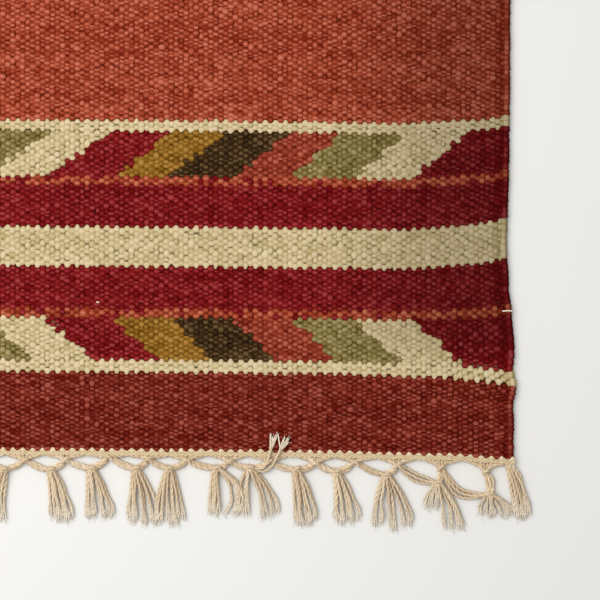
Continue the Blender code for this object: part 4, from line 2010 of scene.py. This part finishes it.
    def build(self, bumps: bpy.types.NodeTree, yarn: bpy.types.NodeTree, heading: bpy.types.Material,
              cotton: bpy.types.Material, frayed: bpy.types.Material) -> list[bpy.types.Object]:
        """Builds the end's pieces.

        Args:
            bumps: the tree that sets a shape on every point.
            yarn: the tree that lays plied yarn.
            heading: the heading's cotton.
            cotton: the strands' cotton.
            frayed: the cotton of their open tips.

        Returns:
            The heading, the knotted warps and their frayed tips.
        """
        runs = YarnRuns()
        fibres = YarnRuns()
        self.tassels(runs, fibres)
        if not self.far:
            for route in LOOSE_ENDS:
                course = even_course([astuple(point) for point in route], self.step)
                tail = round(self.brush_reach / self.step)
                runs.add(course[:2 - tail], self.half_width * self.brush_size, self.brush_tone, 0.0)
                self.open_tip(fibres, course[-tail:], self.brush_plies, self.brush_fan)
        pieces = [self.heading(bumps, heading)]
        warps = grow(f"warps_{self.name}", runs.mesh(f"warps_{self.name}", self.far), yarn, {
            "Sides": 6, "Lobe": self.lobe, "Twist pitch": self.twist_pitch, "Material": cotton,
        })
        pieces.append(dress(warps, "cotton_warp", f"fringe_{self.name}"))
        tips = grow(f"frayed_tips_{self.name}", fibres.mesh(f"tips_{self.name}", self.far), yarn, {
            "Sides": 4, "Lobe": 0.0, "Twist pitch": self.twist_pitch, "Material": frayed,
        })
        pieces.append(dress(tips, "cotton_warp"))
        return pieces


def stray_ends(tree: bpy.types.NodeTree, material: bpy.types.Material) -> bpy.types.Object:
    """Builds the short cream ends that stick out of the weave.

    Args:
        tree: the tree that lays plied yarn.
        material: their yarn.

    Returns:
        The piece.
    """
    half_width = 0.0005
    runs = YarnRuns()
    for route in STRAY_ENDS:
        course = even_course([astuple(point) for point in route], half_width * 1.6)
        runs.add(course, half_width, 1.0, 0.0)
    return dress(grow("stray_ends", runs.mesh("stray_ends", False), tree, {
        "Sides": 6, "Lobe": 0.0, "Twist pitch": 0.004, "Material": material,
    }), "wool_weft")


@dataclass
class Studio:
    """Camera over the corner in the photo, soft light from its upper left, and a pale floor."""

    centre_x: float = 0.15825
    centre_y: float = -0.3447
    view_width: float = 0.405
    lens: float = 100.0
    sensor: float = 36.0
    window_place: tuple[float, float, float] = (-0.75, 0.33, 1.05)
    window_size: float = 1.20
    window_power: float = 14.6
    sky: str = "F4F4F2"
    sky_strength: float = 0.65
    paper: str = "E9E8E5"
    floor_width: float = 4.0
    floor_drop: float = 0.0002

    def camera(self) -> None:
        """Sets the camera straight over the rug."""
        data = bpy.data.cameras.new("camera")
        data.lens = self.lens
        data.sensor_width = self.sensor
        item = new_object("camera", data)
        item.location = (self.centre_x, self.centre_y, self.view_width * self.lens / self.sensor)
        bpy.context.scene.camera = item

    def lights(self) -> None:
        """Adds the window's soft light, which looks at the middle of the view, and a pale sky."""
        data = bpy.data.lights.new("window", "AREA")
        data.energy = self.window_power
        data.size = self.window_size
        item = new_object("window", data)
        offset = Vector(self.window_place)
        item.location = Vector((self.centre_x, self.centre_y, 0.0)) + offset
        item.rotation_euler = (-offset).to_track_quat("-Z", "Y").to_euler()
        world = bpy.data.worlds.new("studio")
        world.use_nodes = True
        background = world.node_tree.nodes["Background"]
        background.inputs["Color"].default_value = linear(self.sky)
        background.inputs["Strength"].default_value = self.sky_strength
        bpy.context.scene.world = world

    def floor(self) -> None:
        """Lays the floor of matt white paper, which has no shine of its own."""
        mesh = bpy.data.meshes.new("floor")
        half = self.floor_width / 2
        corners = [(-half, -half), (half, -half), (half, half), (-half, half)]
        mesh.from_pydata([(x, y, -self.floor_drop) for x, y in corners], [], [(0, 1, 2, 3)])
        paper = bpy.data.materials.new("matt_white_paper")
        paper.use_nodes = True
        shader = paper.node_tree.nodes["Principled BSDF"]
        shader.inputs["Base Color"].default_value = linear(self.paper)
        shader.inputs["Roughness"].default_value = 0.9
        mesh.materials.append(paper)
        new_object("floor", mesh)

    def build(self) -> None:
        """Builds the camera, the lights and the floor."""
        self.camera()
        self.lights()
        self.floor()
        bpy.context.scene.view_settings.view_transform = "Standard"


def main() -> None:
    """Builds the rug from the base of its web outwards."""
    materials = {yarn: finish.material() for yarn, finish in WOOL.items()}
    bumps = bump_tree()
    web = WebBase(LOOM).build()
    floats = WeftBumps(LOOM).build(bumps, materials)
    cords = Selvedges(LOOM).build(bumps, materials)
    yarn = strand_tree()
    cottons = [finish.material() for finish in (HEADING_COTTON, COTTON, FRAYED_COTTON)]
    near = Fringe("near", LOOM, False, NEAR_RIGHT, NEAR_LEFT, SEED + 2).build(bumps, yarn, *cottons)
    far = Fringe("far", LOOM, True, FAR_RIGHT, FAR_LEFT, SEED + 3).build(bumps, yarn, *cottons)
    stray = stray_ends(yarn, cottons[-1])
    Studio().build()


if __name__ == "__main__":
    main()
